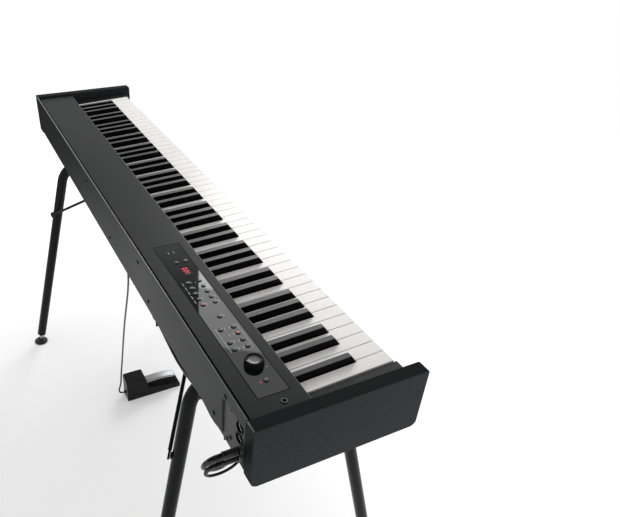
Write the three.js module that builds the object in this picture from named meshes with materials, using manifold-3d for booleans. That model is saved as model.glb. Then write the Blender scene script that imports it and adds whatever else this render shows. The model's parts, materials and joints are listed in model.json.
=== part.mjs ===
// Stage piano: a slim keyboard of 88 keys on two bent-tube stand frames, with a damper pedal on the floor.
// Millimetres, +Z up. +X is the treble end, -Y is the player's side, the floor is z = 0.
import * as THREE from 'three';
import { mergeVertices } from 'three/addons/utils/BufferGeometryUtils.js';
import Module from 'manifold-3d';

const wasm = await Module();
wasm.setup();

// Driving dimensions
const gap = 0.3;
const overrun = 2;
const weld = 0.0001;

const whiteKeyCount = 52;
const whitePitch = 23.5;
const bassBlockWidth = 28;
const trebleBlockWidth = 35;
const cheekThickness = 21;
const cheekHeight = 105;

const slipSetback = 5.5;
const slipThickness = 8;
const slipClearance = 4.5;
const keyReach = 150.5;
const coverDepth = 87.5;
const grooveWidth = 4.5;
const rearThickness = 2.5;

const coverDrop = 5;
const coverThickness = 3;
const sheet = 2;

const standHeight = 620;
const caseSetback = 10.2;
const keyTilt = THREE.MathUtils.degToRad(2.56);

// Derived frame of the case: x and y from its middle, z from its underside
const keyboardWidth = whiteKeyCount * whitePitch;
const innerWidth = keyboardWidth + bassBlockWidth + trebleBlockWidth;
const caseWidth = innerWidth + 2 * cheekThickness;
const innerX = innerWidth / 2;
const outerX = caseWidth / 2;
const keysX = bassBlockWidth - innerX;
const frontDepth = slipSetback + slipThickness + slipClearance;
const caseDepth = frontDepth + keyReach + coverDepth + grooveWidth + rearThickness;
const rearY = caseDepth / 2;
const frontY = -rearY;
const keyFrontY = frontY + frontDepth;
const coverFrontY = keyFrontY + keyReach;
const coverRearY = coverFrontY + coverDepth;
const rearInnerY = rearY - rearThickness;
const coverTopZ = cheekHeight - coverDrop;
const coverUnderZ = coverTopZ - coverThickness;
const shellX = innerX - gap;

const piano = new THREE.Group();
const caseGroup = new THREE.Group();
caseGroup.position.set(0, caseSetback, standHeight);
const floorGroup = new THREE.Group();
piano.add(caseGroup, floorGroup);

// A closed geometry as a solid for cutting and joining
function solid(geometry) {
  const bare = geometry.clone();
  bare.deleteAttribute('normal');
  bare.deleteAttribute('uv');
  const merged = mergeVertices(bare, weld);
  const places = merged.attributes.position;
  const corners = merged.index.array;
  const kept = [];
  let sixVolumes = 0;
  const a = new THREE.Vector3();
  const b = new THREE.Vector3();
  const c = new THREE.Vector3();
  for (let i = 0; i < corners.length; i += 3) {
    const [p, q, r] = corners.slice(i, i + 3);
    if (p !== q && q !== r && r !== p) {
      kept.push(p, q, r);
      a.fromBufferAttribute(places, p);
      b.fromBufferAttribute(places, q);
      c.fromBufferAttribute(places, r);
      sixVolumes += a.dot(b.cross(c));
    }
  }
  if (sixVolumes < 0) kept.reverse();
  const triVerts = Uint32Array.from(kept);
  const vertProperties = Float32Array.from(places.array);
  return new wasm.Manifold(new wasm.Mesh({ numProp: 3, vertProperties, triVerts }));
}

// Joins several solids into one
function join(...solids) {
  return solids.reduce((whole, next) => whole.add(next));
}

// A painted, plated or moulded finish
function finish(color, roughness, metalness = 0) {
  return new THREE.MeshStandardMaterial({ color, roughness, metalness });
}

// Puts a solid into a group as a named mesh
function piece(group, name, body, material) {
  const mesh = body.getMesh();
  const geometry = new THREE.BufferGeometry();
  geometry.setAttribute('position', new THREE.BufferAttribute(mesh.vertProperties, 3));
  geometry.setIndex(new THREE.BufferAttribute(mesh.triVerts, 1));
  geometry.computeVertexNormals();
  const part = new THREE.Mesh(geometry, material);
  part.name = name;
  group.add(part);
  return part;
}

// A block between two opposite corners
function block(x0, x1, y0, y1, z0, z1) {
  const box = new THREE.BoxGeometry(x1 - x0, y1 - y0, z1 - z0);
  return solid(box.translate((x0 + x1) / 2, (y0 + y1) / 2, (z0 + z1) / 2));
}

// Outlines drawn as lists of two coordinates
function outline(points) {
  return new THREE.Shape(points.map(([u, v]) => new THREE.Vector2(u, v)));
}

// An outline in y and z, drawn along x
function alongX(shape, x0, x1, options = {}) {
  const settings = { depth: x1 - x0, bevelEnabled: false, curveSegments: 5, ...options };
  const length = new THREE.ExtrudeGeometry(shape, settings);
  const turn = new THREE.Matrix4().makeBasis(
    new THREE.Vector3(0, 1, 0),
    new THREE.Vector3(0, 0, 1),
    new THREE.Vector3(1, 0, 0),
  );
  return length.applyMatrix4(turn).translate(x0, 0, 0);
}

// An outline in x and z, drawn along y
function alongY(shape, y0, y1) {
  const length = new THREE.ExtrudeGeometry(shape, { depth: y1 - y0, bevelEnabled: false, curveSegments: 5 });
  return length.rotateX(Math.PI / 2).translate(0, y1, 0);
}

// An outline in x and y, drawn along z
function alongZ(shape, z0, z1, curveSegments = 4) {
  const length = new THREE.ExtrudeGeometry(shape, { depth: z1 - z0, bevelEnabled: false, curveSegments });
  return length.translate(0, 0, z0);
}

// A rectangle with rounded corners, between two corners
function roundedRectangle(u0, u1, v0, v1, radius) {
  const shape = new THREE.Shape();
  shape.moveTo(u0 + radius, v0);
  shape.lineTo(u1 - radius, v0);
  shape.absarc(u1 - radius, v0 + radius, radius, -Math.PI / 2, 0);
  shape.lineTo(u1, v1 - radius);
  shape.absarc(u1 - radius, v1 - radius, radius, 0, Math.PI / 2);
  shape.lineTo(u0 + radius, v1);
  shape.absarc(u0 + radius, v1 - radius, radius, Math.PI / 2, Math.PI);
  shape.lineTo(u0, v0 + radius);
  shape.absarc(u0 + radius, v0 + radius, radius, Math.PI, Math.PI * 1.5);
  return shape;
}

// A profile of radius and height pairs turned about the z axis, then stood at x, y, z
function turned(profile, sides, x, y, z) {
  const points = profile.map(([radius, height]) => new THREE.Vector2(radius, height));
  const lathe = new THREE.LatheGeometry(points, sides);
  return solid(lathe.rotateX(Math.PI / 2).translate(x, y, z));
}

// An upright round pin from one height to another
function pin(radius, sides, x, y, z0, z1) {
  const round = new THREE.CylinderGeometry(radius, radius, z1 - z0, sides);
  return solid(round.rotateX(Math.PI / 2).translate(x, y, (z0 + z1) / 2));
}

// A round bar between two points, tapered if the end radius differs
function bar(from, to, radius, sides, endRadius = radius) {
  const way = to.clone().sub(from);
  const round = new THREE.CylinderGeometry(endRadius, radius, way.length(), sides);
  const turn = new THREE.Quaternion().setFromUnitVectors(new THREE.Vector3(0, 1, 0), way.clone().normalize());
  const middle = from.clone().add(to).multiplyScalar(0.5);
  return solid(round.applyQuaternion(turn).translate(middle.x, middle.y, middle.z));
}

// A route through given stops, one ring of a tube at each
class Route extends THREE.Curve {
  constructor(stops) {
    super();
    this.stops = stops;
  }

  getPoint(t) {
    const at = t * (this.stops.length - 1);
    const before = Math.min(Math.floor(at), this.stops.length - 2);
    return this.stops[before].clone().lerp(this.stops[before + 1], at - before);
  }

  getPointAt(u) {
    return this.getPoint(u);
  }

  getTangentAt(u) {
    const last = this.stops.length - 1;
    const here = Math.round(u * last);
    const ahead = this.stops[Math.min(here + 1, last)].clone().sub(this.stops[here]).normalize();
    const behind = this.stops[here].clone().sub(this.stops[Math.max(here - 1, 0)]).normalize();
    return ahead.add(behind).normalize();
  }
}

// A round tube along a list of stops
function tube(stops, radius, sides) {
  const section = [];
  for (let side = 0; side < sides; side += 1) {
    const angle = (2 * Math.PI * side) / sides;
    section.push([radius * Math.cos(angle), radius * Math.sin(angle)]);
  }
  const settings = { steps: stops.length - 1, extrudePath: new Route(stops), bevelEnabled: false };
  return solid(new THREE.ExtrudeGeometry(outline(section), settings));
}

// Stops along straight runs joined by bends of one radius
function bentRoute(corners, radius, bendSteps) {
  const stops = [corners[0]];
  for (let i = 1; i < corners.length - 1; i += 1) {
    const back = corners[i - 1].clone().sub(corners[i]).normalize();
    const on = corners[i + 1].clone().sub(corners[i]).normalize();
    const half = back.angleTo(on) / 2;
    const centre = back.clone().add(on).normalize().multiplyScalar(radius / Math.sin(half)).add(corners[i]);
    const start = back.clone().multiplyScalar(radius / Math.tan(half)).add(corners[i]).sub(centre);
    const end = on.clone().multiplyScalar(radius / Math.tan(half)).add(corners[i]).sub(centre);
    const axle = start.clone().cross(end).normalize();
    const sweep = start.angleTo(end);
    for (let step = 0; step <= bendSteps; step += 1) {
      stops.push(start.clone().applyAxisAngle(axle, (sweep * step) / bendSteps).add(centre));
    }
  }
  stops.push(corners[corners.length - 1]);
  return stops;
}

const blackPaint = finish(0x2b2d2f, 0.55, 0.2);
const cheekFinish = finish(0x26282b, 0.75);
const steel = finish(0xa8aaab, 0.4, 0.9);
const chrome = finish(0xd8dadc, 0.15, 1);
const boardGreen = finish(0x1f4a32, 0.6);
const blackPlastic = finish(0x17181a, 0.5);
const glossPlastic = finish(0x101214, 0.15);
const rubberBlack = finish(0x141414, 0.9);
const feltRed = finish(0x7a1c22, 0.95);
const ivory = finish(0xeeeeea, 0.35);
const ebony = finish(0x1a1b1d, 0.45);
const smoked = finish(0x1a0406, 0.1);
const tubeBlack = finish(0x1c1d1f, 0.45, 0.3);
const cordBlack = finish(0x121212, 0.7);

// Cheeks: the two end panels of the case, rounded where a hand meets them
const cheekBottomRadius = 10;
const cheekTopFrontRadius = 3.5;
const cheekTopRearRadius = 1.5;
const cheekEdge = 1;

function cheek(name, x0) {
  const shape = new THREE.Shape();
  const low = cheekEdge;
  const high = cheekHeight - cheekEdge;
  const front = frontY + cheekEdge;
  const rear = rearY - cheekEdge;
  shape.moveTo(front + cheekBottomRadius, low);
  shape.lineTo(rear - cheekBottomRadius, low);
  shape.absarc(rear - cheekBottomRadius, low + cheekBottomRadius, cheekBottomRadius, -Math.PI / 2, 0);
  shape.lineTo(rear, high - cheekTopRearRadius);
  shape.absarc(rear - cheekTopRearRadius, high - cheekTopRearRadius, cheekTopRearRadius, 0, Math.PI / 2);
  shape.lineTo(front + cheekTopFrontRadius, high);
  shape.absarc(front + cheekTopFrontRadius, high - cheekTopFrontRadius, cheekTopFrontRadius, Math.PI / 2, Math.PI);
  shape.lineTo(front, low + cheekBottomRadius);
  shape.absarc(front + cheekBottomRadius, low + cheekBottomRadius, cheekBottomRadius, Math.PI, Math.PI * 1.5);
  const bevel = { bevelEnabled: true, bevelThickness: cheekEdge, bevelSize: cheekEdge, bevelSegments: 1 };
  const panel = alongX(shape, x0 + cheekEdge, x0 + cheekThickness - cheekEdge, bevel);
  return piece(caseGroup, name, solid(panel), cheekFinish);
}
cheek('cheek_bass', -outerX);
cheek('cheek_treble', innerX);

// Rear panel: bent sheet whose top lip stands level with the cheeks, with a ledge for the cover to lie on
const rearLipRadius = 1;
const rearFootZ = 14;
const ledgeThickness = 2;
const ledgeReach = 17;
const ledgeTopZ = coverUnderZ - gap;
const ledgeFrontY = rearInnerY - ledgeReach;
const jackWindow = { inset: 3, width: 64.5, z1: 85, corner: 2 };
jackWindow.z0 = rearFootZ - overrun - jackWindow.corner;
jackWindow.x0 = -innerX + jackWindow.inset;
jackWindow.x1 = jackWindow.x0 + jackWindow.width;
const jackPlate = { overlap: 2.5, thickness: 2 };
jackPlate.x1 = jackWindow.x1 + jackPlate.overlap;

const mainBoard = { x0: -540, length: 250, height: 62, z0: 24, thickness: 1.6, rearClearance: 18, post: 3, inset: 8 };
mainBoard.x1 = mainBoard.x0 + mainBoard.length;
mainBoard.z1 = mainBoard.z0 + mainBoard.height;
mainBoard.rearY = rearInnerY - mainBoard.rearClearance;
mainBoard.frontY = mainBoard.rearY - mainBoard.thickness;

const rearPanelShape = new THREE.Shape();
rearPanelShape.moveTo(rearInnerY, rearFootZ);
rearPanelShape.lineTo(rearY, rearFootZ);
rearPanelShape.lineTo(rearY, cheekHeight - rearLipRadius);
rearPanelShape.absarc(rearY - rearLipRadius, cheekHeight - rearLipRadius, rearLipRadius, 0, Math.PI / 2);
rearPanelShape.lineTo(rearInnerY, cheekHeight);
rearPanelShape.lineTo(rearInnerY, ledgeTopZ);
rearPanelShape.lineTo(ledgeFrontY, ledgeTopZ);
rearPanelShape.lineTo(ledgeFrontY, ledgeTopZ - ledgeThickness);
rearPanelShape.lineTo(rearInnerY, ledgeTopZ - ledgeThickness);
const windowShape = roundedRectangle(
  jackWindow.x0,
  jackWindow.x1,
  jackWindow.z0,
  jackWindow.z1,
  jackWindow.corner,
);
let rearPanel = solid(alongX(rearPanelShape, -shellX, shellX));
rearPanel = rearPanel.subtract(solid(alongY(windowShape, rearInnerY - overrun, rearY + overrun)));
for (const x of [mainBoard.x0 + mainBoard.inset, mainBoard.x1 - mainBoard.inset]) {
  for (const z of [mainBoard.z0 + mainBoard.inset, mainBoard.z1 - mainBoard.inset]) {
    const foot = new THREE.Vector3(x, rearInnerY + rearThickness / 2, z);
    const tip = new THREE.Vector3(x, mainBoard.rearY + gap, z);
    rearPanel = rearPanel.add(bar(foot, tip, mainBoard.post, 8));
  }
}
piece(caseGroup, 'rear_panel', rearPanel, blackPaint);

// Main board: the circuit board that scans the keys and makes the sound, on posts of the rear panel
const chip = { width: 28, height: 28, depth: 3 };
const chipShares = [0.3, 0.55];
const header = { width: 60, height: 9, depth: 8 };
const boardMiddle = (mainBoard.z0 + mainBoard.z1) / 2;
let mainBoardBody = block(
  mainBoard.x0,
  mainBoard.x1,
  mainBoard.frontY,
  mainBoard.rearY,
  mainBoard.z0,
  mainBoard.z1,
);
for (const share of chipShares) {
  const x = mainBoard.x0 + mainBoard.length * share;
  const y1 = mainBoard.rearY + chip.depth;
  const z = boardMiddle;
  const body = block(x, x + chip.width, mainBoard.frontY + gap, y1, z - chip.height / 2, z + chip.height / 2);
  mainBoardBody = mainBoardBody.add(body);
}
const headerX = mainBoard.x0 + mainBoard.length / 2;
const headerY = mainBoard.rearY + header.depth;
const headerZ = mainBoard.z0 + header.height;
mainBoardBody = mainBoardBody.add(
  block(headerX, headerX + header.width, mainBoard.frontY + gap, headerY, mainBoard.z0 + gap, headerZ),
);
piece(caseGroup, 'main_board', mainBoardBody, boardGreen);

// Bottom tray: pressed steel pan under the keys, with upturned edges, cord hooks and the brace lugs
const trayFlangeFront = 24;
const trayFlangeRear = 7;
const traySlant = 3;
const trayTongue = 6;
const slipRearY = frontY + slipSetback + slipThickness;
const trayFrontY = slipRearY + gap;
const trayRearY = rearInnerY - gap;
const hook = { width: 3, wall: 2, slack: 0.6 };
const braceTop = { x: 256, y: 28, bossRadius: 9, bossDrop: 6 };
const damperCord = { radius: 2.25, sides: 8, ringsPerPoint: 2 };
const lineCord = { radius: 2, sides: 8, ringsPerPoint: 2 };

const trayShape = outline([
  [trayFrontY, 0],
  [trayRearY - traySlant, 0],
  [trayRearY, trayFlangeRear],
  [trayRearY - sheet, trayFlangeRear],
  [trayRearY - traySlant - sheet, sheet],
  [trayFrontY + sheet, sheet],
  [trayFrontY + sheet, trayFlangeFront],
  [trayFrontY, trayFlangeFront],
]);

// A hook below the tray: a stem, a floor that the cord lies on and a short upturned lip
function cordHook(x, cordY, cordZ, radius) {
  const floorZ = cordZ - radius - hook.slack;
  const stemY = cordY + radius + gap;
  const lipY = cordY - radius - gap;
  const shape = outline([
    [stemY, sheet / 2],
    [stemY, floorZ],
    [lipY, floorZ],
    [lipY, floorZ + radius],
    [lipY - hook.wall, floorZ + radius],
    [lipY - hook.wall, floorZ - hook.wall],
    [stemY + hook.wall, floorZ - hook.wall],
    [stemY + hook.wall, sheet / 2],
  ]);
  return solid(alongX(shape, x - hook.width / 2, x + hook.width / 2));
}

// Where the cords are held under the case: x, y and z in the case's frame
const damperHolds = [
  [-566, 118, -9],
  [-480, 120, -9],
  [-290, 120, -9],
  [-186, -20, -9],
  [-76, 110, -9],
];
const lineHolds = [
  [-562, 94, -9],
  [-502, 88, -9],
];
let tray = solid(alongX(trayShape, -shellX, shellX));
const tongueZ = rearFootZ + trayTongue;
tray = tray.add(
  block(jackPlate.x1 + gap, shellX, trayRearY - sheet, trayRearY, trayFlangeRear - gap, tongueZ),
);
for (const [x, y, z] of damperHolds) {
  tray = tray.add(cordHook(x, y, z, damperCord.radius));
}
for (const [x, y, z] of lineHolds) {
  tray = tray.add(cordHook(x, y, z, lineCord.radius));
}
for (const side of [-1, 1]) {
  tray = tray.add(pin(braceTop.bossRadius, 12, side * braceTop.x, braceTop.y, -braceTop.bossDrop, sheet / 2));
}
piece(caseGroup, 'bottom_tray', tray, blackPaint);

// Key slip: the rail in front of the keys
const slipHeight = 72;
const slipRound = 3;
const slipShape = new THREE.Shape();
slipShape.moveTo(slipRearY - slipThickness, slipRound);
slipShape.lineTo(slipRearY - slipThickness + slipRound, 0);
slipShape.lineTo(slipRearY, 0);
slipShape.lineTo(slipRearY, slipHeight);
slipShape.lineTo(slipRearY - slipThickness + slipRound, slipHeight);
slipShape.absarc(
  slipRearY - slipThickness + slipRound,
  slipHeight - slipRound,
  slipRound,
  Math.PI / 2,
  Math.PI,
);
piece(caseGroup, 'key_slip', solid(alongX(slipShape, -shellX, shellX)), blackPaint);

// End blocks: the fillers between the keys and the cheeks
const endBlock = { height: 87.2, round: 1.5, keyClearance: 0.8, coverClearance: 1 };
endBlock.noseY = slipRearY + gap;
endBlock.frontY = slipRearY + sheet + 2 * gap;
endBlock.rearY = coverFrontY - endBlock.coverClearance;
endBlock.rearHeight = endBlock.height - (endBlock.rearY - endBlock.noseY) * Math.tan(keyTilt);
const endBlockShape = new THREE.Shape();
endBlockShape.moveTo(endBlock.frontY, sheet + gap);
endBlockShape.lineTo(endBlock.rearY, sheet + gap);
endBlockShape.lineTo(endBlock.rearY, endBlock.rearHeight);
endBlockShape.lineTo(endBlock.noseY + endBlock.round, endBlock.height);
endBlockShape.absarc(
  endBlock.noseY + endBlock.round,
  endBlock.height - endBlock.round,
  endBlock.round,
  Math.PI / 2,
  Math.PI,
);
endBlockShape.lineTo(endBlock.noseY, trayFlangeFront + gap);
endBlockShape.lineTo(endBlock.frontY, trayFlangeFront + gap);
const bassBlock = alongX(endBlockShape, -shellX, keysX - endBlock.keyClearance);
const trebleBlock = alongX(endBlockShape, keysX + keyboardWidth + endBlock.keyClearance, shellX);
piece(caseGroup, 'end_block_bass', solid(bassBlock), blackPlastic);
piece(caseGroup, 'end_block_treble', solid(trebleBlock), blackPlastic);

// Control panel: a gloss plate let into the cover, its place measured from the bass end of the case
const panel = { depth: 46, inset: 50.5, frontInset: 17, thickness: 1.5, margin: 0.8, ledge: 3, corner: 2 };
panel.trebleMargin = 58.4;
panel.x0 = -outerX + panel.inset;
panel.y0 = coverFrontY + panel.frontInset;
panel.y1 = panel.y0 + panel.depth;
panel.middleY = (panel.y0 + panel.y1) / 2;
panel.seatZ = coverTopZ - panel.thickness - gap;
panel.underZ = coverTopZ - panel.thickness;

const cap = { radius: 3.8, height: 1.5, round: 0.7, travel: 0.8, sides: 10 };
const web = { half: 4.6, thickness: 1.6 };
web.topZ = panel.underZ - gap;
web.underZ = web.topZ - web.thickness;

// Button places from the panel's bass front corner
const soundRows = { front: 11.4, rear: 31.5 };
const functionRows = { front: 12, rear: 32.2 };
const soundColumns = [208, 223, 238.5, 253.8, 269.5];
const functionColumns = [96.3, 111.6, 127.2, 142.3];
const loneButton = [172.1, 20.4];
const displayColumn = 332.6;
panel.x1 = panel.x0 + displayColumn + panel.trebleMargin;
const strips = {
  power_button: [[25.5, 20.7]],
  display_buttons: [[displayColumn, 26.6], [displayColumn, 10.7]],
  sound_buttons_front: soundColumns.map((x) => [x, soundRows.front]),
  sound_buttons_rear: soundColumns.map((x) => [x, soundRows.rear]),
  function_buttons_front: [...functionColumns.map((x) => [x, functionRows.front]), loneButton],
  function_buttons_rear: [0, 1, 3].map((i) => [functionColumns[i], functionRows.rear]),
};

const knob = { x: 59.5, y: 21.1, radius: 14.3, topRadius: 12.8, height: 9.5, lift: 0.5, dish: 1.2, rim: 3, sides: 24 };
const knobShaftRadius = 3;
knob.atX = panel.x0 + knob.x;
knob.atY = panel.y0 + knob.y;

const windowBay = { x: 303.8, y: 19.8, width: 28, depth: 14, sink: 0.4, body: 7 };
windowBay.atX = panel.x0 + windowBay.x;
windowBay.atY = panel.y0 + windowBay.y;

const panelPosts = [8, 155, 281];
const lastPostInset = 8;
const panelPostRadius = 2.5;
const controlBoard = { thickness: 1.6, drop: 12, inset: 4 };
controlBoard.topZ = panel.underZ - controlBoard.drop;
controlBoard.underZ = controlBoard.topZ - controlBoard.thickness;

const panelOutline = roundedRectangle(panel.x0, panel.x1, panel.y0, panel.y1, panel.corner);
let panelBody = solid(alongZ(panelOutline, panel.underZ, coverTopZ));
const panelHoleTop = coverTopZ + overrun;
const panelHoleUnder = panel.underZ - overrun;
for (const places of Object.values(strips)) {
  for (const [x, y] of places) {
    const hole = pin(cap.radius + gap, cap.sides, panel.x0 + x, panel.y0 + y, panelHoleUnder, panelHoleTop);
    panelBody = panelBody.subtract(hole);
  }
}
const knobHole = pin(knobShaftRadius + gap, cap.sides, knob.atX, knob.atY, panelHoleUnder, panelHoleTop);
panelBody = panelBody.subtract(knobHole);
panelBody = panelBody.subtract(
  block(
    windowBay.atX - windowBay.width / 2 - gap,
    windowBay.atX + windowBay.width / 2 + gap,
    windowBay.atY - windowBay.depth / 2 - gap,
    windowBay.atY + windowBay.depth / 2 + gap,
    panelHoleUnder,
    panelHoleTop,
  ),
);
for (const x of [...panelPosts, panel.x1 - panel.x0 - lastPostInset]) {
  const top = panel.underZ + panel.thickness / 2;
  panelBody = panelBody.add(
    pin(panelPostRadius, 6, panel.x0 + x, panel.middleY, controlBoard.topZ + gap, top),
  );
}
piece(caseGroup, 'control_panel', panelBody, glossPlastic);

// Display window: the smoked numeral display, standing on the board and showing through the panel
const displayBody = block(
  windowBay.atX - windowBay.width / 2,
  windowBay.atX + windowBay.width / 2,
  windowBay.atY - windowBay.depth / 2,
  windowBay.atY + windowBay.depth / 2,
  controlBoard.topZ + gap,
  coverTopZ - windowBay.sink,
);
piece(caseGroup, 'display_window', displayBody, smoked);

// Buttons: round caps that stand through the panel, moulded on one web under each row
function buttonStrip(name, places) {
  const xs = places.map(([x]) => panel.x0 + x);
  const ys = places.map(([, y]) => panel.y0 + y);
  const x0 = Math.min(...xs) - web.half;
  const x1 = Math.max(...xs) + web.half;
  const y0 = Math.min(...ys) - web.half;
  const y1 = Math.max(...ys) + web.half;
  const stepped = y1 - y0 > 2 * web.half && x1 - x0 > y1 - y0;
  let strip = stepped ? steppedWeb(xs, ys) : block(x0, x1, y0, y1, web.underZ, web.topZ);
  const top = coverTopZ + cap.height;
  const profile = [
    [0, web.topZ - web.thickness / 2],
    [cap.radius, web.topZ - web.thickness / 2],
    [cap.radius, top - cap.round],
    [cap.radius - cap.round, top],
    [0, top],
  ];
  xs.forEach((x, i) => {
    strip = strip.add(turned(profile, cap.sides, x, ys[i], 0));
  });
  return piece(caseGroup, name, strip, blackPlastic);
}

// The web of a row whose last button stands out of line: a bar with a short arm
function steppedWeb(xs, ys) {
  const last = xs.length - 1;
  const rowX0 = Math.min(...xs) - web.half;
  const rowY = ys[0];
  const row = block(rowX0, xs[last] + web.half, rowY - web.half, rowY + web.half, web.underZ, web.topZ);
  const armX0 = xs[last] - web.half;
  const arm = block(armX0, xs[last] + web.half, rowY, ys[last] + web.half, web.underZ, web.topZ);
  return row.add(arm);
}
for (const [name, places] of Object.entries(strips)) {
  buttonStrip(name, places);
}

// Volume knob: a low turned cap with a dished top, on its own short shaft
const knobFootZ = coverTopZ + knob.lift;
const knobTopZ = knobFootZ + knob.height;
const pot = { half: 6.5, height: 9 };
const knobProfile = [
  [0, controlBoard.topZ + pot.height + gap],
  [knobShaftRadius, controlBoard.topZ + pot.height + gap],
  [knobShaftRadius, knobFootZ],
  [knob.radius, knobFootZ],
  [knob.topRadius, knobTopZ - knob.dish / 2],
  [knob.topRadius - knob.dish / 2, knobTopZ],
  [knob.topRadius - knob.rim, knobTopZ],
  [knob.topRadius - knob.rim - knob.dish, knobTopZ - knob.dish],
  [0, knobTopZ - knob.dish],
];
piece(caseGroup, 'volume_knob', turned(knobProfile, knob.sides, knob.atX, knob.atY, 0), blackPlastic);

// Panel board: switches under the buttons and the volume control, on posts of the panel
const switchPost = { half: 2.2, slack: 0.3 };
switchPost.topZ = web.underZ - cap.travel - switchPost.slack;
const boardInset = panel.ledge + controlBoard.inset;
let panelBoard = block(
  panel.x0 + boardInset,
  panel.x1 - boardInset,
  panel.y0 + panel.ledge + gap,
  panel.y1 - panel.ledge - gap,
  controlBoard.underZ,
  controlBoard.topZ,
);
const boardMidZ = controlBoard.topZ - controlBoard.thickness / 2;
for (const places of Object.values(strips)) {
  for (const [x, y] of places) {
    const atX = panel.x0 + x;
    const atY = panel.y0 + y;
    const half = switchPost.half;
    panelBoard = panelBoard.add(
      block(atX - half, atX + half, atY - half, atY + half, boardMidZ, switchPost.topZ),
    );
  }
}
const potZ = controlBoard.topZ + pot.height;
panelBoard = panelBoard.add(
  block(knob.atX - pot.half, knob.atX + pot.half, knob.atY - pot.half, knob.atY + pot.half, boardMidZ, potZ),
);
piece(caseGroup, 'panel_board', panelBoard, boardGreen);

// Top cover: folded aluminium sheet with a recess for the panel and a bush for a music rest at each end
const coverNose = 4.2;
const coverNoseDepth = 3;
const coverRound = 1;
const bush = { x: 14, rearInset: 53.5, radius: 5, bore: 3.3, stand: 0.8, depth: 9, sides: 14 };
bush.atX = innerX - bush.x;
bush.atY = coverRearY - bush.rearInset;
const coverShape = new THREE.Shape();
coverShape.moveTo(coverFrontY, coverTopZ - coverNose);
coverShape.lineTo(coverFrontY + coverNoseDepth, coverTopZ - coverNose);
coverShape.lineTo(coverFrontY + coverNoseDepth, coverUnderZ);
coverShape.lineTo(coverRearY, coverUnderZ);
coverShape.lineTo(coverRearY, coverTopZ - coverRound);
coverShape.absarc(coverRearY - coverRound, coverTopZ - coverRound, coverRound, 0, Math.PI / 2);
coverShape.lineTo(coverFrontY + coverRound, coverTopZ);
coverShape.absarc(coverFrontY + coverRound, coverTopZ - coverRound, coverRound, Math.PI / 2, Math.PI);
let cover = solid(alongX(coverShape, -shellX, shellX));
const recess = roundedRectangle(
  panel.x0 - panel.margin,
  panel.x1 + panel.margin,
  panel.y0 - panel.margin,
  panel.y1 + panel.margin,
  panel.corner,
);
const coverOpening = roundedRectangle(
  panel.x0 + panel.ledge,
  panel.x1 - panel.ledge,
  panel.y0 + panel.ledge,
  panel.y1 - panel.ledge,
  panel.corner,
);
cover = cover.subtract(solid(alongZ(recess, panel.seatZ, coverTopZ + overrun)));
cover = cover.subtract(solid(alongZ(coverOpening, coverUnderZ - overrun, coverTopZ)));
for (const side of [-1, 1]) {
  const x = side * bush.atX;
  const boss = pin(bush.radius, bush.sides, x, bush.atY, coverUnderZ - bush.depth, coverTopZ + bush.stand);
  const bore = pin(
    bush.bore,
    bush.sides,
    x,
    bush.atY,
    coverUnderZ - bush.depth - overrun,
    coverTopZ + bush.stand + overrun,
  );
  cover = cover.add(boss).subtract(bore);
}
piece(caseGroup, 'top_cover', cover, blackPaint);

// Jack plate: the inset steel plate that carries the sockets at the bass end of the rear panel
const dinSocket = { x: 20, z: [71.5, 51.5], radius: 9.3, well: 7.4, wellDepth: 7, depth: 14, half: 9 };
const phoneJack = { x: 15.5, z: [34, 20.5], radius: 4.6, nut: 5.6, nutDepth: 2, bore: 3.25, depth: 30, half: 6.5 };
jackPlate.rearY = rearInnerY - gap;
jackPlate.frontY = jackPlate.rearY - jackPlate.thickness;
dinSocket.atX = -innerX + dinSocket.x;
phoneJack.atX = -innerX + phoneJack.x;
let plate = block(
  -shellX,
  jackPlate.x1,
  jackPlate.frontY,
  jackPlate.rearY,
  trayFlangeRear + gap,
  jackWindow.z1 + jackPlate.overlap,
);

// A round bar along y
function barY(radius, sides, x, z, y0, y1) {
  return bar(new THREE.Vector3(x, y0, z), new THREE.Vector3(x, y1, z), radius, sides);
}
const plateCut = [jackPlate.frontY - overrun, jackPlate.rearY + overrun];
for (const z of dinSocket.z) {
  plate = plate.subtract(barY(dinSocket.radius + gap, 14, dinSocket.atX, z, ...plateCut));
}
for (const z of phoneJack.z) {
  plate = plate.subtract(barY(phoneJack.radius + gap, 12, phoneJack.atX, z, ...plateCut));
}
piece(caseGroup, 'jack_plate', plate, finish(0x3b3d3e, 0.5, 0.5));

// Jack board: an upright board beside the cheek with its two round sockets and two phone jacks
const jackBoard = { thickness: 1.6, z1: 84, depth: 44 };
jackBoard.x0 = -shellX + gap;
jackBoard.x1 = jackBoard.x0 + jackBoard.thickness;
jackBoard.rearY = jackPlate.frontY - gap;
jackBoard.z0 = trayFlangeRear + gap;
let jackBody = block(
  jackBoard.x0,
  jackBoard.x1,
  jackBoard.rearY - jackBoard.depth,
  jackBoard.rearY,
  jackBoard.z0,
  jackBoard.z1,
);
for (const z of dinSocket.z) {
  const front = jackBoard.rearY - dinSocket.depth;
  const body = block(
    jackBoard.x0 + gap,
    dinSocket.atX + dinSocket.half,
    front,
    jackBoard.rearY,
    z - dinSocket.half,
    z + dinSocket.half,
  );
  const face = barY(dinSocket.radius, 14, dinSocket.atX, z, front + gap, jackPlate.rearY);
  const well = barY(
    dinSocket.well,
    14,
    dinSocket.atX,
    z,
    jackPlate.rearY - dinSocket.wellDepth,
    jackPlate.rearY + overrun,
  );
  jackBody = jackBody.add(body).add(face).subtract(well);
}
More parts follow.
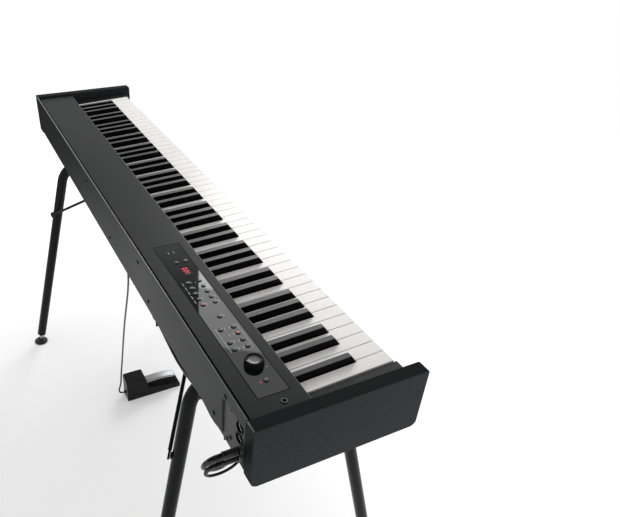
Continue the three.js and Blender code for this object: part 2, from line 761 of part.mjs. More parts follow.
for (const z of phoneJack.z) {
  const front = jackBoard.rearY - phoneJack.depth;
  const body = block(
    jackBoard.x0 + gap,
    phoneJack.atX + phoneJack.half,
    front,
    jackBoard.rearY,
    z - phoneJack.half,
    z + phoneJack.half,
  );
  const nutY = jackPlate.rearY + gap;
  const nose = barY(phoneJack.radius, 12, phoneJack.atX, z, front + gap, nutY);
  const nut = barY(phoneJack.nut, 6, phoneJack.atX, z, nutY - gap / 2, nutY + phoneJack.nutDepth);
  const bore = barY(phoneJack.bore, 12, phoneJack.atX, z, front - overrun, nutY + phoneJack.nutDepth + overrun);
  jackBody = jackBody.add(body).add(nose).add(nut).subtract(bore);
}
piece(caseGroup, 'jack_board', jackBody, blackPlastic);

// Keys are hinged on one line at the rear and rise slightly to the front at rest
const keyDip = THREE.MathUtils.degToRad(2.75);
const key = {
  height: 19.7,
  pivotRise: 60,
  pivotSetback: 58,
  tail: 5,
  side: 0.6,
  nose: 1.6,
  lip: 4.5,
  lipStep: 1.4,
  skirt: 1,
};
key.pivotY = coverFrontY + key.pivotSetback;
key.pivotZ = key.pivotRise;
key.frontY = keyFrontY - key.pivotY - key.height * Math.sin(keyTilt);
const blackKey = {
  width: 11.6,
  topWidth: 9.8,
  height: 12,
  slope: 6.5,
  round: 2,
  setback: 49.5,
  underCover: 9,
  clearance: 1,
};
blackKey.frontY = key.frontY + blackKey.setback;
blackKey.rearY = blackKey.underCover - key.pivotSetback;

const keyGroup = new THREE.Group();
keyGroup.position.set(0, key.pivotY, key.pivotZ);
keyGroup.rotation.x = -keyTilt;
caseGroup.add(keyGroup);

// Side view of a white key: nose, lip and underside
const whiteShape = outline([
  [key.frontY + key.lipStep, key.skirt],
  [key.tail, 0],
  [key.tail, key.height],
  [key.frontY + key.nose, key.height],
  [key.frontY, key.height - key.nose],
  [key.frontY, key.height - key.lip],
  [key.frontY + key.lipStep, key.height - key.lip],
]);

// Side view of a black key: sloped front, playing face, then the low tail under the cover
const blackShape = outline([
  [blackKey.frontY, key.skirt],
  [key.tail, 0],
  [key.tail, key.height],
  [blackKey.rearY, key.height],
  [blackKey.rearY, key.height + blackKey.height],
  [blackKey.frontY + blackKey.slope + blackKey.round, key.height + blackKey.height],
  [blackKey.frontY + blackKey.slope, key.height + blackKey.height - blackKey.round / 2],
  [blackKey.frontY, key.height],
]);

// Offsets of the black keys' middles from the octave's first white key, in shares of a white key
const threeShare = 3 / 5;
const fourShare = 4 / 7;
const blackShares = {
  C: threeShare * 1.5,
  D: threeShare * 3.5,
  F: 3 + fourShare * 1.5,
  G: 3 + fourShare * 3.5,
  A: 3 + fourShare * 5.5,
};
const letters = ['C', 'D', 'E', 'F', 'G', 'A', 'B'];

// Every key of the keyboard from the lowest A, with its place along the case
const keyboard = [];
for (let white = 0; white < whiteKeyCount; white += 1) {
  const step = white + 5;
  const letter = letters[step % 7];
  const octave = Math.floor(step / 7);
  const octaveX = keysX + (7 * octave - 5) * whitePitch;
  keyboard.push({ letter, octave, sharp: false, x: keysX + white * whitePitch });
  if (letter in blackShares && white < whiteKeyCount - 1) {
    keyboard.push({ letter, octave, sharp: true, x: octaveX + blackShares[letter] * whitePitch });
  }
}
const blackMiddles = keyboard.filter(({ sharp }) => sharp).map(({ x }) => x);

function whiteKey(x) {
  let body = solid(alongX(whiteShape, x + key.side, x + whitePitch - key.side));
  const half = blackKey.width / 2 + blackKey.clearance;
  const notchY = blackKey.frontY - blackKey.clearance;
  const tailY = key.tail + overrun;
  const topZ = key.height + overrun;
  for (const middle of blackMiddles) {
    if (middle + half > x && middle - half < x + whitePitch) {
      const x0 = middle < x + whitePitch / 2 ? x - overrun : middle - half;
      const x1 = middle < x + whitePitch / 2 ? middle + half : x + whitePitch + overrun;
      body = body.subtract(block(x0, x1, notchY, tailY, -overrun, topZ));
    }
  }
  return body;
}

function blackKeyBody(middle) {
  const stick = alongX(blackShape, -blackKey.width / 2, blackKey.width / 2);
  const places = stick.attributes.position;
  for (let i = 0; i < places.count; i += 1) {
    const share = Math.max(0, (places.getZ(i) - key.height) / blackKey.height);
    const scale = THREE.MathUtils.lerp(1, blackKey.topWidth / blackKey.width, share);
    places.setX(i, places.getX(i) * scale);
  }
  return solid(stick.translate(middle, 0, 0));
}

// The lowest keys are separate pieces; the rest are combs joined by a rail behind the pivot
const singleKeys = 12;
for (const { letter, octave, sharp, x } of keyboard.slice(0, singleKeys)) {
  const name = `key_${letter}${sharp ? '_sharp' : ''}_${octave}`;
  const body = sharp ? blackKeyBody(x) : whiteKey(x);
  piece(keyGroup, name, body, sharp ? ebony : ivory);
}
const combRail = { depth: 4, height: 7, spacing: 2, overlap: 1, tongue: 4, clearance: 1.5 };
function comb(name, keys, sharp, level) {
  const low = combRail.spacing + level * (combRail.height + combRail.spacing);
  const high = low + combRail.height;
  const railY = key.tail + combRail.clearance;
  const middles = keys.map(({ x }) => (sharp ? x : x + whitePitch / 2));
  const half = combRail.tongue / 2;
  const x0 = middles[0] - half;
  const x1 = middles[middles.length - 1] + half;
  const rail = block(x0, x1, railY, railY + combRail.depth, low, high);
  const tongues = middles.map((x) => (
    block(x - half, x + half, key.tail - combRail.overlap, railY + combRail.overlap, low, high)
  ));
  const bodies = keys.map(({ x }) => (sharp ? blackKeyBody(x) : whiteKey(x)));
  return piece(keyGroup, name, join(rail, ...tongues, ...bodies), sharp ? ebony : ivory);
}
const combSplit = 5;
const combKeys = keyboard.slice(singleKeys);
const combNames = {
  low: { true: 'black_keys_A_sharp_1_to_A_sharp_4', false: 'white_keys_A1_to_B4' },
  high: { true: 'black_keys_C_sharp_5_to_A_sharp_7', false: 'white_keys_C5_to_C8' },
};
for (const sharp of [false, true]) {
  const level = sharp ? 1 : 0;
  const kind = combKeys.filter((one) => one.sharp === sharp);
  const low = kind.filter(({ octave }) => octave < combSplit);
  const high = kind.filter(({ octave }) => octave >= combSplit);
  comb(combNames.low[sharp], low, sharp, level);
  comb(combNames.high[sharp], high, sharp, level);
}

// Key frame: the folded steel chassis with the pivot rail at the rear and the felt rail at the front
const frame = { margin: 1, frontInset: 9, railDepth: 20, fulcrum: 2, feltThickness: 3, settle: 0.4 };
frame.baseZ = sheet + gap;
frame.frontY = keyFrontY + frame.frontInset;
const railMiddle = key.pivotY - frame.frontY - frame.railDepth;
const skirtShare = key.skirt / -key.frontY;
const railRise = key.pivotZ + railMiddle * (Math.tan(keyTilt - keyDip) + skirtShare);
frame.feltTopZ = railRise - frame.settle;
frame.railTopZ = frame.feltTopZ - frame.feltThickness - gap;
frame.fulcrumZ = key.pivotZ - gap;
const frameShape = outline([
  [frame.frontY, frame.baseZ],
  [key.pivotY + frame.fulcrum, frame.baseZ],
  [key.pivotY + frame.fulcrum, frame.fulcrumZ],
  [key.pivotY - frame.fulcrum, frame.fulcrumZ],
  [key.pivotY - frame.fulcrum, frame.baseZ + sheet],
  [frame.frontY + sheet, frame.baseZ + sheet],
  [frame.frontY + sheet, frame.railTopZ - sheet],
  [frame.frontY + frame.railDepth, frame.railTopZ - sheet],
  [frame.frontY + frame.railDepth, frame.railTopZ],
  [frame.frontY, frame.railTopZ],
]);
const frameX0 = keysX + frame.margin;
const frameX1 = keysX + keyboardWidth - frame.margin;
piece(caseGroup, 'key_frame', solid(alongX(frameShape, frameX0, frameX1)), steel);

// Stop felt: the strip that the pressed keys land on
const felt = block(
  frameX0,
  frameX1,
  frame.frontY,
  frame.frontY + frame.railDepth,
  frame.railTopZ + gap,
  frame.feltTopZ,
);
piece(caseGroup, 'stop_felt', felt, feltRed);

// Stand frames: one bent tube each, a level run under the case and two legs that lean out every way
const standTube = { radius: 12.5, sides: 14, bend: 55, bendSteps: 6 };
const leg = { topX: 438.6, footX: 505, topY: 123.7, footY: 265.4 };
const pad = { thickness: 2, length: 150, width: 44 };
const mountPlate = { thickness: 3, sink: 0.6, depth: 44, width: 50, spread: 48 };
const foot = { radius: 19.5, base: 5, neck: 9, collar: 6.6, height: 15, ball: 5, ballZ: 9.5, sides: 16 };
const footStem = { radius: 3.6, length: 22, tubeEndZ: 33 };
const braceRod = { radius: 3.5, eyeRadius: 8, eyeThickness: 4, eyeWeld: 1, sides: 10 };
const braceFoot = { x: 447.3, y: 175, z: 463.9, lugRadius: 6 };

const runZ = standHeight - gap - pad.thickness - gap - mountPlate.thickness + mountPlate.sink - standTube.radius;

// A point on a leg's centre line: side is the end of the case, way the front or rear, z the height
function legPoint(side, way, z) {
  const share = (standHeight - z) / standHeight;
  const x = THREE.MathUtils.lerp(leg.topX, leg.footX, share);
  const y = THREE.MathUtils.lerp(leg.topY, leg.footY, share);
  return new THREE.Vector3(side * x, way * y, z);
}

// The brace's two ends and the way its lower eye faces the leg
function brace(side) {
  const low = new THREE.Vector3(side * braceFoot.x, braceFoot.y, braceFoot.z);
  const highZ = standHeight - braceTop.bossDrop - gap - braceRod.eyeThickness / 2;
  const high = new THREE.Vector3(side * braceTop.x, braceTop.y + caseSetback, highZ);
  const along = high.clone().sub(low).normalize();
  const legDown = legPoint(side, 1, 0).sub(legPoint(side, 1, standHeight)).normalize();
  const nearest = legPoint(side, 1, low.z);
  const toLeg = nearest.sub(low);
  toLeg.addScaledVector(legDown, -toLeg.dot(legDown));
  const facing = toLeg.clone().addScaledVector(along, -toLeg.dot(along)).normalize();
  return { low, high, along, toLeg, facing };
}

function standFrame(name, side) {
  const front = legPoint(side, -1, footStem.tubeEndZ);
  const rear = legPoint(side, 1, footStem.tubeEndZ);
  const corners = [front, legPoint(side, -1, runZ), legPoint(side, 1, runZ), rear];
  let body = tube(bentRoute(corners, standTube.bend, standTube.bendSteps), standTube.radius, standTube.sides);
  const plateX = legPoint(side, 1, runZ).x;
  const plateZ = runZ + standTube.radius - mountPlate.sink;
  for (const way of [-1, 1]) {
    const y = way * mountPlate.spread;
    body = body.add(
      block(
        plateX - mountPlate.width / 2,
        plateX + mountPlate.width / 2,
        y - mountPlate.depth / 2,
        y + mountPlate.depth / 2,
        plateZ,
        plateZ + mountPlate.thickness,
      ),
    );
  }
  for (const way of [-1, 1]) {
    const ball = legPoint(side, way, foot.ballZ);
    const up = legPoint(side, way, footStem.tubeEndZ + footStem.length);
    const sphere = new THREE.SphereGeometry(foot.ball, 8, 6).translate(ball.x, ball.y, ball.z);
    body = join(body, bar(ball, up, footStem.radius, 8), solid(sphere));
  }
  const { low, facing, toLeg } = brace(side);
  const lugStart = low.clone().addScaledVector(facing, braceRod.eyeThickness / 2 + gap);
  const lugEnd = low.clone().addScaledVector(facing, toLeg.length());
  body = body.add(bar(lugStart, lugEnd, braceFoot.lugRadius, 10));
  return piece(floorGroup, name, body, tubeBlack);
}
standFrame('stand_frame_bass', -1);
standFrame('stand_frame_treble', 1);

// Saddle pads: rubber strips between the stand's plates and the tray
for (const [name, side] of [['saddle_pad_bass', -1], ['saddle_pad_treble', 1]]) {
  const x = legPoint(side, 1, runZ).x;
  const top = standHeight - gap;
  const body = block(
    x - pad.width / 2,
    x + pad.width / 2,
    -pad.length / 2,
    pad.length / 2,
    top - pad.thickness,
    top,
  );
  piece(floorGroup, name, body, rubberBlack);
}

// Brace rods: round rod with a flat eye at each end, from the rear leg to a boss under the tray
for (const [name, side] of [['brace_rod_bass', -1], ['brace_rod_treble', 1]]) {
  const { low, high, along, facing } = brace(side);
  const half = facing.clone().multiplyScalar(braceRod.eyeThickness / 2);
  const lowEye = bar(low.clone().sub(half), low.clone().add(half), braceRod.eyeRadius, 12);
  const eyeRise = braceRod.eyeThickness / 2;
  const highEye = pin(braceRod.eyeRadius, 12, high.x, high.y, high.z - eyeRise, high.z + eyeRise);
  const shaftStart = low.clone().addScaledVector(along, braceRod.eyeRadius - braceRod.eyeWeld);
  const shaft = bar(shaftStart, high, braceRod.radius, braceRod.sides);
  const trimTop = block(
    high.x - 2 * braceRod.eyeRadius,
    high.x + 2 * braceRod.eyeRadius,
    high.y - 2 * braceRod.eyeRadius,
    high.y + 2 * braceRod.eyeRadius,
    high.z + eyeRise,
    high.z + eyeRise + 2 * braceRod.eyeRadius,
  );
  piece(floorGroup, name, join(shaft, lowEye, highEye).subtract(trimTop), tubeBlack);
}

// Levelling feet: discs that turn and tilt on the ball of each leg's stem
const socket = foot.ball + 2 * gap;
const footProfile = [
  [0, 0],
  [foot.radius, 0],
  [foot.radius, foot.base],
  [foot.neck, foot.height - foot.base / 2],
  [foot.collar, foot.height],
];
const socketSteps = 4;
const socketMouth = THREE.MathUtils.degToRad(25);
for (let step = 0; step < socketSteps; step += 1) {
  const angle = THREE.MathUtils.lerp(socketMouth, -Math.PI / 2, step / socketSteps);
  footProfile.push([socket * Math.cos(angle), foot.ballZ + socket * Math.sin(angle)]);
}
footProfile.push([0, foot.ballZ - socket]);
const feet = [
  ['levelling_foot_bass_front', -1, -1],
  ['levelling_foot_bass_rear', -1, 1],
  ['levelling_foot_treble_front', 1, -1],
  ['levelling_foot_treble_rear', 1, 1],
];
for (const [name, side, way] of feet) {
  const ball = legPoint(side, way, foot.ballZ);
  piece(floorGroup, name, turned(footProfile, foot.sides, ball.x, ball.y, 0), rubberBlack);
}

// Damper pedal: a cast housing over a rubber sole, with a sprung chrome lever
const pedal = { x0: 141, width: 39, rear: 91.2, length: 157, height: 72, block: 55, wall: 3, sole: 3 };
pedal.x1 = pedal.x0 + pedal.width;
pedal.middle = (pedal.x0 + pedal.x1) / 2;
pedal.front = pedal.rear - pedal.length;
pedal.blockFront = pedal.rear - pedal.block;
pedal.baseZ = pedal.sole + gap;
const pedalBase = { high: 30, low: 16, noseRound: 6, shoulder: 8 };
const lever = { width: 26, thickness: 6, pivotInset: 14, pivotZ: 44, tipInset: 9, tail: 8, drop: 10, crown: 3.5, curl: 4 };
lever.pivotY = pedal.blockFront + lever.pivotInset;
lever.reach = lever.pivotY - pedal.front - lever.tipInset;

const housingShape = new THREE.Shape();
housingShape.moveTo(pedal.rear, pedal.baseZ);
housingShape.lineTo(pedal.rear, pedal.height - pedal.wall);
housingShape.lineTo(pedal.rear - pedal.wall, pedal.height);
housingShape.lineTo(pedal.blockFront + pedal.wall, pedal.height);
housingShape.lineTo(pedal.blockFront, pedal.height - pedal.wall);
housingShape.lineTo(pedal.blockFront - pedalBase.shoulder, pedalBase.high);
housingShape.lineTo(pedal.front + pedalBase.noseRound, pedalBase.low);
housingShape.lineTo(pedal.front, pedalBase.low - pedalBase.noseRound);
housingShape.lineTo(pedal.front, pedal.baseZ);
let housing = solid(alongX(housingShape, pedal.x0, pedal.x1));
const innerShape = outline([
  [pedal.rear - pedal.wall, pedal.baseZ - overrun],
  [pedal.rear - pedal.wall, pedal.height - 2 * pedal.wall],
  [pedal.blockFront + pedal.wall, pedal.height - 2 * pedal.wall],
  [pedal.blockFront + pedal.wall - pedalBase.shoulder, pedalBase.high - pedal.wall],
  [pedal.front + pedal.wall + pedalBase.noseRound, pedalBase.low - 2 * pedal.wall],
  [pedal.front + pedal.wall + pedalBase.noseRound, pedal.baseZ - overrun],
]);
housing = housing.subtract(solid(alongX(innerShape, pedal.x0 + pedal.wall, pedal.x1 - pedal.wall)));

// The mouth that the lever comes out of, tall enough for its travel
const leverDip = THREE.MathUtils.degToRad(8);
const mouth = { side: 2, rise: 6, fall: 16 };
housing = housing.subtract(
  block(
    pedal.middle - lever.width / 2 - mouth.side,
    pedal.middle + lever.width / 2 + mouth.side,
    pedal.blockFront - pedalBase.shoulder - overrun,
    pedal.blockFront + pedal.wall + overrun,
    lever.pivotZ - mouth.fall,
    lever.pivotZ + mouth.rise,
  ),
);

// Bosses that carry the lever's trunnions, and the hole for the cord's relief
const trunnion = { radius: 3, bore: 3.3, boss: 6, length: 3.5 };
const gland = { x: 29, z: 12, radius: 4, flange: 6, reach: 3, wall: 1.5 };
gland.atX = pedal.x0 + gland.x;
for (const side of [-1, 1]) {
  const wallX = pedal.middle + side * (pedal.width / 2 - pedal.wall / 2);
  const insideX = pedal.middle + side * (lever.width / 2 + gap + trunnion.length / 2);
  const boss = bar(
    new THREE.Vector3(wallX, lever.pivotY, lever.pivotZ),
    new THREE.Vector3(insideX, lever.pivotY, lever.pivotZ),
    trunnion.boss,
    12,
  );
  const boreEnd = pedal.middle + side * (pedal.width / 2 - pedal.wall / 2);
  const bore = bar(
    new THREE.Vector3(boreEnd, lever.pivotY, lever.pivotZ),
    new THREE.Vector3(pedal.middle, lever.pivotY, lever.pivotZ),
    trunnion.bore,
    12,
  );
  housing = housing.add(boss).subtract(bore);
}
housing = housing.subtract(
  barY(gland.radius + gap, 12, gland.atX, gland.z, pedal.rear - pedal.wall - overrun, pedal.rear + overrun),
);
piece(floorGroup, 'pedal_housing', housing, blackPlastic);

// Pedal lever: pressed steel tongue with a broad rounded tip, its root in the housing
const leverOutline = new THREE.Shape();
const leverHalf = lever.width / 2;
const leverTipY = lever.pivotY - lever.reach;
leverOutline.moveTo(-leverHalf, lever.pivotY + lever.tail);
leverOutline.lineTo(-leverHalf, leverTipY + leverHalf);
leverOutline.absarc(0, leverTipY + leverHalf, leverHalf, Math.PI, 2 * Math.PI);
leverOutline.lineTo(leverHalf, lever.pivotY + lever.tail);
const leverSide = [];
const leverRows = 8;
const crownShare = 0.55;
for (let row = 0; row <= leverRows; row += 1) {
  const share = row / leverRows;
  const y = lever.pivotY + lever.tail - share * (lever.reach + lever.tail + overrun);
  const crown = lever.crown * Math.sin(share * Math.PI * crownShare);
  leverSide.push([y, lever.pivotZ + crown - lever.drop * share ** lever.curl]);
}
const leverBand = outline([
  ...leverSide.map(([y, z]) => [y, z + lever.thickness / 2]),
  ...leverSide.slice().reverse().map(([y, z]) => [y, z - lever.thickness / 2]),
]);
const leverPlan = solid(alongZ(leverOutline, 0, pedal.height, 8)).translate([pedal.middle, 0, 0]);
let leverBody = solid(alongX(leverBand, pedal.x0, pedal.x1)).intersect(leverPlan);
const axleHalf = lever.width / 2 + trunnion.length;
leverBody = leverBody.add(
  bar(
    new THREE.Vector3(pedal.middle - axleHalf, lever.pivotY, lever.pivotZ),
    new THREE.Vector3(pedal.middle + axleHalf, lever.pivotY, lever.pivotZ),
    trunnion.radius,
    12,
  ),
);
piece(floorGroup, 'pedal_lever', leverBody, chrome);

// Pedal sole: the rubber sheet that closes the housing and grips the floor
const soleBody = block(pedal.x0, pedal.x1, pedal.front, pedal.rear, 0, pedal.sole);
piece(floorGroup, 'pedal_sole', soleBody, rubberBlack);

// Cord relief on the pedal's rear wall
const glandCordRadius = damperCord.radius;
const glandY = pedal.rear;
const glandBody = join(
  barY(gland.radius, 12, gland.atX, gland.z, glandY - pedal.wall - gland.wall, glandY + gland.wall),
  barY(gland.flange, 12, gland.atX, gland.z, glandY + gap, glandY + gap + gland.wall),
  bar(
    new THREE.Vector3(gland.atX, glandY + gland.wall, gland.z),
    new THREE.Vector3(gland.atX, glandY + gland.reach, gland.z),
    gland.radius,
    12,
    glandCordRadius + gland.wall / 2,
  ),
);
piece(floorGroup, 'pedal_gland', glandBody, rubberBlack);

// Plugs: a pin in the jack, a barrel and a tapering boot
const plug = { pin: 3.1, pinLength: 26, barrel: 6, barrelLength: 23, boot: 3.6, bootLength: 10, gap: 0.6 };
const linePlug = { ...plug, barrel: 4.6, barrelLength: 24, boot: 3.4, bootLength: 9 };
const jackFaceY = caseSetback + jackPlate.rearY + gap + phoneJack.nutDepth;
const jackX = phoneJack.atX;

// A plug along a direction, from the point where its barrel starts
const bootRootShare = 0.8;
function plugBody(start, way, sizes) {
  const at = (distance) => start.clone().addScaledVector(way, distance);
  const boot = sizes.barrelLength + sizes.bootLength;
  const tip = sizes.pinLength;
  return join(
    bar(at(-tip), at(sizes.barrelLength / 2), sizes.pin, 10),
    bar(at(0), at(sizes.barrelLength), sizes.barrel, 12),
    bar(at(sizes.barrelLength), at(boot), sizes.barrel * bootRootShare, 12, sizes.boot),
  );
}
const rearward = new THREE.Vector3(0, 1, 0);
const damperJack = new THREE.Vector3(jackX, jackFaceY + plug.gap, standHeight + phoneJack.z[0]);
const lineJack = new THREE.Vector3(jackX, jackFaceY + plug.gap, standHeight + phoneJack.z[1]);
piece(floorGroup, 'damper_plug', plugBody(damperJack, rearward, plug), blackPlastic);
piece(floorGroup, 'line_plug', plugBody(lineJack, rearward, linePlug), blackPlastic);

// Free cords, as points chosen by hand in the part's frame, with two rings of tube to each point
const damperRoute = [
  [-627, 175.1, 654],
  [-626.8, 179.8, 653.4],
  [-626, 184.6, 650.6],
  [-624, 187.8, 645.4],
  [-620.9, 188, 637.6],
  [-618, 183.8, 628.6],
  [-616, 176, 620.8],
  [-613, 164, 613.8],
  [-608, 150, 609.5],
  [-600, 138, 608.5],
  [-588, 130.5, 610],
  [-566, 128.2, 611],
  [-524, 129.5, 604],
  [-480, 130.2, 611],
  [-385, 131, 600],
  [-290, 130.2, 611],
  [-258, 128, 605],
  [-238, 108, 601],
  [-226, 62, 599],
  [-214, 12, 604.5],
  [-201, -6, 610],
  [-186, -9.8, 611],
  [-171, -6, 610],
  [-158, 12, 604.5],
  [-146, 62, 599],
  [-133, 106, 601.5],
  [-76, 120.2, 611],
  [-62, 118.6, 608.5],
  [-51, 113.5, 592],
  [-42, 110, 566],
  [-26, 107.5, 518],
  [66, 101.8, 332],
  [134.5, 98.4, 170],
  [159, 98.4, 104],
  [167.4, 102, 50],
  [169.4, 107.6, 25],
  [170, 105.8, 17],
  [170, 102.1, 13.6],
  [170, 96.4, 12.2],
  [170, 94.5, 12.1],
];
const lineRoute = [
  [-627, 175.1, 640.5],
  [-626.9, 180.4, 639.7],
  [-626.6, 185, 636.6],
  [-626.2, 187, 631.4],
  [-625.6, 185.2, 625.8],
  [-625, 178.8, 621.2],
  [-624.2, 166.4, 618.4],
  [-622, 154, 616.8],
  [-616, 139, 614.2],
  [-603, 120, 611.9],
  [-584, 107.4, 611],
  [-562, 104.2, 611],
  [-532, 102, 606],
  [-502, 98.2, 611],
  [-490, 96, 609.5],
  [-472, 88, 599],
  [-457, 75, 590.5],
  [-449.6, 60, 586.8],
  [-447.2, 48, 586],
  [-447.2, 24.3, 586],
  [-447.2, 18.3, 586],
];

// A cord's tube through its points
function cordTube(places, cord) {
  const points = places.map(([x, y, z]) => new THREE.Vector3(x, y, z));
  const curve = new THREE.CatmullRomCurve3(points, false, 'centripetal');
  return tube(curve.getPoints(cord.ringsPerPoint * (points.length - 1)), cord.radius, cord.sides);
}
piece(floorGroup, 'damper_lead', cordTube(damperRoute, damperCord), cordBlack);
piece(floorGroup, 'line_lead', cordTube(lineRoute, lineCord), cordBlack);

// Coil: the spare length of the line lead, wound in four layers and hung by a strap from the bass frame
const coil = { loops: 8, layers: 4, stepsPerLoop: 24, sides: 6, pitch: 4.5, middleRadius: 22.7, drop: 4 };
const coilPlace = { y: 14, leadOut: 11 };
const climbTurns = 0.25;
coil.loopsPerLayer = coil.loops / coil.layers;
coil.outerRadius = coil.middleRadius + (coil.loopsPerLayer * coil.pitch) / 2;
coil.runX = legPoint(-1, 1, runZ).x;
coil.firstX = coil.runX - ((coil.layers - 1) * coil.pitch) / 2;
coil.topZ = runZ - standTube.radius - coil.drop;
coil.middleZ = coil.topZ - coil.outerRadius;
const cordWidth = 2 * lineCord.radius;

// The coil's centre line after a number of turns: in and out again, climbing where the spiral reverses
function coilPoint(turns) {
  const nearest = Math.round(turns / coil.loopsPerLayer);
  const fromReversal = turns - nearest * coil.loopsPerLayer;
  const inward = Math.abs(turns - 2 * coil.loopsPerLayer * Math.round(turns / (2 * coil.loopsPerLayer)));
  const radius = coil.outerRadius - coil.pitch * inward;
  let layer = Math.min(Math.floor(turns / coil.loopsPerLayer), coil.layers - 1);
  const climbing = Math.abs(fromReversal) < climbTurns && nearest > 0 && nearest < coil.layers;
  if (climbing) layer = nearest - 1 / 2 + fromReversal / (2 * climbTurns);
  const angle = 2 * Math.PI * turns;
  return new THREE.Vector3(
    coil.firstX + layer * coil.pitch,
    coilPlace.y - radius * Math.sin(angle),
    coil.middleZ + radius * Math.cos(angle),
  );
}
const coilStops = [new THREE.Vector3(coil.firstX, coilPlace.y + cordWidth, coil.topZ)];
for (let step = 0; step <= coil.loops * coil.stepsPerLoop; step += 1) {
  coilStops.push(coilPoint(step / coil.stepsPerLoop));
}
const coilEnd = coilStops[coilStops.length - 1].clone();
coilEnd.y -= coilPlace.leadOut;
coilStops.push(coilEnd);
piece(floorGroup, 'line_coil', tube(coilStops, lineCord.radius, coil.sides), cordBlack);

let leastGap = Infinity;
for (let i = 0; i < coilStops.length; i += 1) {
  for (let j = i + coil.stepsPerLoop / 2; j < coilStops.length; j += 1) {
    leastGap = Math.min(leastGap, coilStops[i].distanceTo(coilStops[j]) - cordWidth);
  }
}
console.log(`line_coil: least gap to itself ${leastGap.toFixed(2)} mm`);

// The line lead's far plug, held beside the coil's top
const linePlugLength = linePlug.barrelLength + linePlug.bootLength;
const endPlugStart = coilEnd.clone();
endPlugStart.y -= gap + linePlugLength;
piece(floorGroup, 'line_end_plug', plugBody(endPlugStart, rearward, linePlug), blackPlastic);

// Coil tie: a strap round the frame's level run and the top of the coil
const tie = { width: 9, thickness: 1.5, slack: 0.4, settle: 1, wrap: THREE.MathUtils.degToRad(10) };
tie.halfBundle = ((coil.layers - 1) * coil.pitch) / 2 + lineCord.radius + tie.slack;
tie.bottomZ = coil.topZ - coil.loopsPerLayer * coil.pitch - lineCord.radius - tie.settle - tie.slack;
function tieOutline(extra) {
  const shape = new THREE.Shape();
  const half = tie.halfBundle + extra;
  shape.moveTo(coil.runX - half, tie.bottomZ - extra);
  shape.lineTo(coil.runX + half, tie.bottomZ - extra);
  shape.absarc(coil.runX, runZ, standTube.radius + tie.slack + extra, -tie.wrap, Math.PI + tie.wrap);
  return shape;
}
const tieY0 = coilPlace.y - tie.width / 2;
const tieY1 = coilPlace.y + tie.width / 2;
const tieInside = solid(alongY(tieOutline(0), tieY0 - overrun, tieY1 + overrun));
const tieBody = solid(alongY(tieOutline(tie.thickness), tieY0, tieY1)).subtract(tieInside);
piece(floorGroup, 'coil_tie', tieBody, rubberBlack);

export default piano;
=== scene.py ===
import json
import math

import bmesh
import bpy
from mathutils import Matrix, Vector

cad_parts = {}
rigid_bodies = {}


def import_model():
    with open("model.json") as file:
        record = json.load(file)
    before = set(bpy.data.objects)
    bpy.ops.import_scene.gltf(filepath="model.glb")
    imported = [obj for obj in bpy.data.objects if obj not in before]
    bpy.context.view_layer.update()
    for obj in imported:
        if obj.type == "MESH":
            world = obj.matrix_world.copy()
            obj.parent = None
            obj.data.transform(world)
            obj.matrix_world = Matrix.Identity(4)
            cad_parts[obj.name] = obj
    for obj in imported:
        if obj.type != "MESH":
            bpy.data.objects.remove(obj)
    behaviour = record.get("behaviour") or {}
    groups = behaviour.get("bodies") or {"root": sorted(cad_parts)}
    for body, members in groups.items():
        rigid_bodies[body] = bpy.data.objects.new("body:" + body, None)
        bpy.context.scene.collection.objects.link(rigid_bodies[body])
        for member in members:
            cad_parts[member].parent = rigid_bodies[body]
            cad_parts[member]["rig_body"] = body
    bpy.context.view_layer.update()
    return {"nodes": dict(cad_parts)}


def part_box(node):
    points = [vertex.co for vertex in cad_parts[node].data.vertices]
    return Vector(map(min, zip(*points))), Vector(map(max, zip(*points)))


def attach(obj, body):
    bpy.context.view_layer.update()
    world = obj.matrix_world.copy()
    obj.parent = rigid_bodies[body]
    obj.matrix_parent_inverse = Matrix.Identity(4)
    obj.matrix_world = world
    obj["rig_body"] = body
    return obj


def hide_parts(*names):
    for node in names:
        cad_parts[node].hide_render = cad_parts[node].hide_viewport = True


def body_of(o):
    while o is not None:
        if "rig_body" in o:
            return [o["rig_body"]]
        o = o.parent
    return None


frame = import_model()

# Camera. The photograph was taken from behind the bass end, a little above the piano, through a
# moderately wide lens rolled by under two degrees. The frame is a crop, so the lens is shifted.
MM = 0.001
IMAGE_WIDTH = 620
camera_place = Vector((-1085.5, 388.1, 1275.2)) * MM
camera_bearing = math.radians(-26.32)
camera_dip = math.radians(34.43)
camera_roll = math.radians(1.75)
camera_focal_pixels = 611.2
camera_axis_right_pixels = -80.0
camera_axis_down_pixels = 20.8
SENSOR_WIDTH = 36

looking = Vector((
    math.cos(camera_dip) * math.cos(camera_bearing),
    math.cos(camera_dip) * math.sin(camera_bearing),
    -math.sin(camera_dip),
))
level_right = looking.cross(Vector((0, 0, 1))).normalized()
level_up = level_right.cross(looking)
rolled_right = level_right * math.cos(camera_roll) + level_up * math.sin(camera_roll)
rolled_up = level_up * math.cos(camera_roll) - level_right * math.sin(camera_roll)
camera = bpy.data.objects.new("camera", bpy.data.cameras.new("camera"))
bpy.context.scene.collection.objects.link(camera)
camera.matrix_world = (
    Matrix.Translation(camera_place)
    @ Matrix((rolled_right, rolled_up, -looking)).transposed().to_4x4()
)
camera.data.sensor_width = SENSOR_WIDTH
camera.data.lens = camera_focal_pixels / IMAGE_WIDTH * SENSOR_WIDTH
camera.data.shift_x = -camera_axis_right_pixels / IMAGE_WIDTH
camera.data.shift_y = camera_axis_down_pixels / IMAGE_WIDTH
camera.data.clip_end = 50
bpy.context.scene.camera = camera


# Leads. Both are round, limp, black and plugged in at the bass end: the damper pedal's runs in
# hooks under the case and drops to the pedal, and a line lead's spare length is coiled out of
# sight.


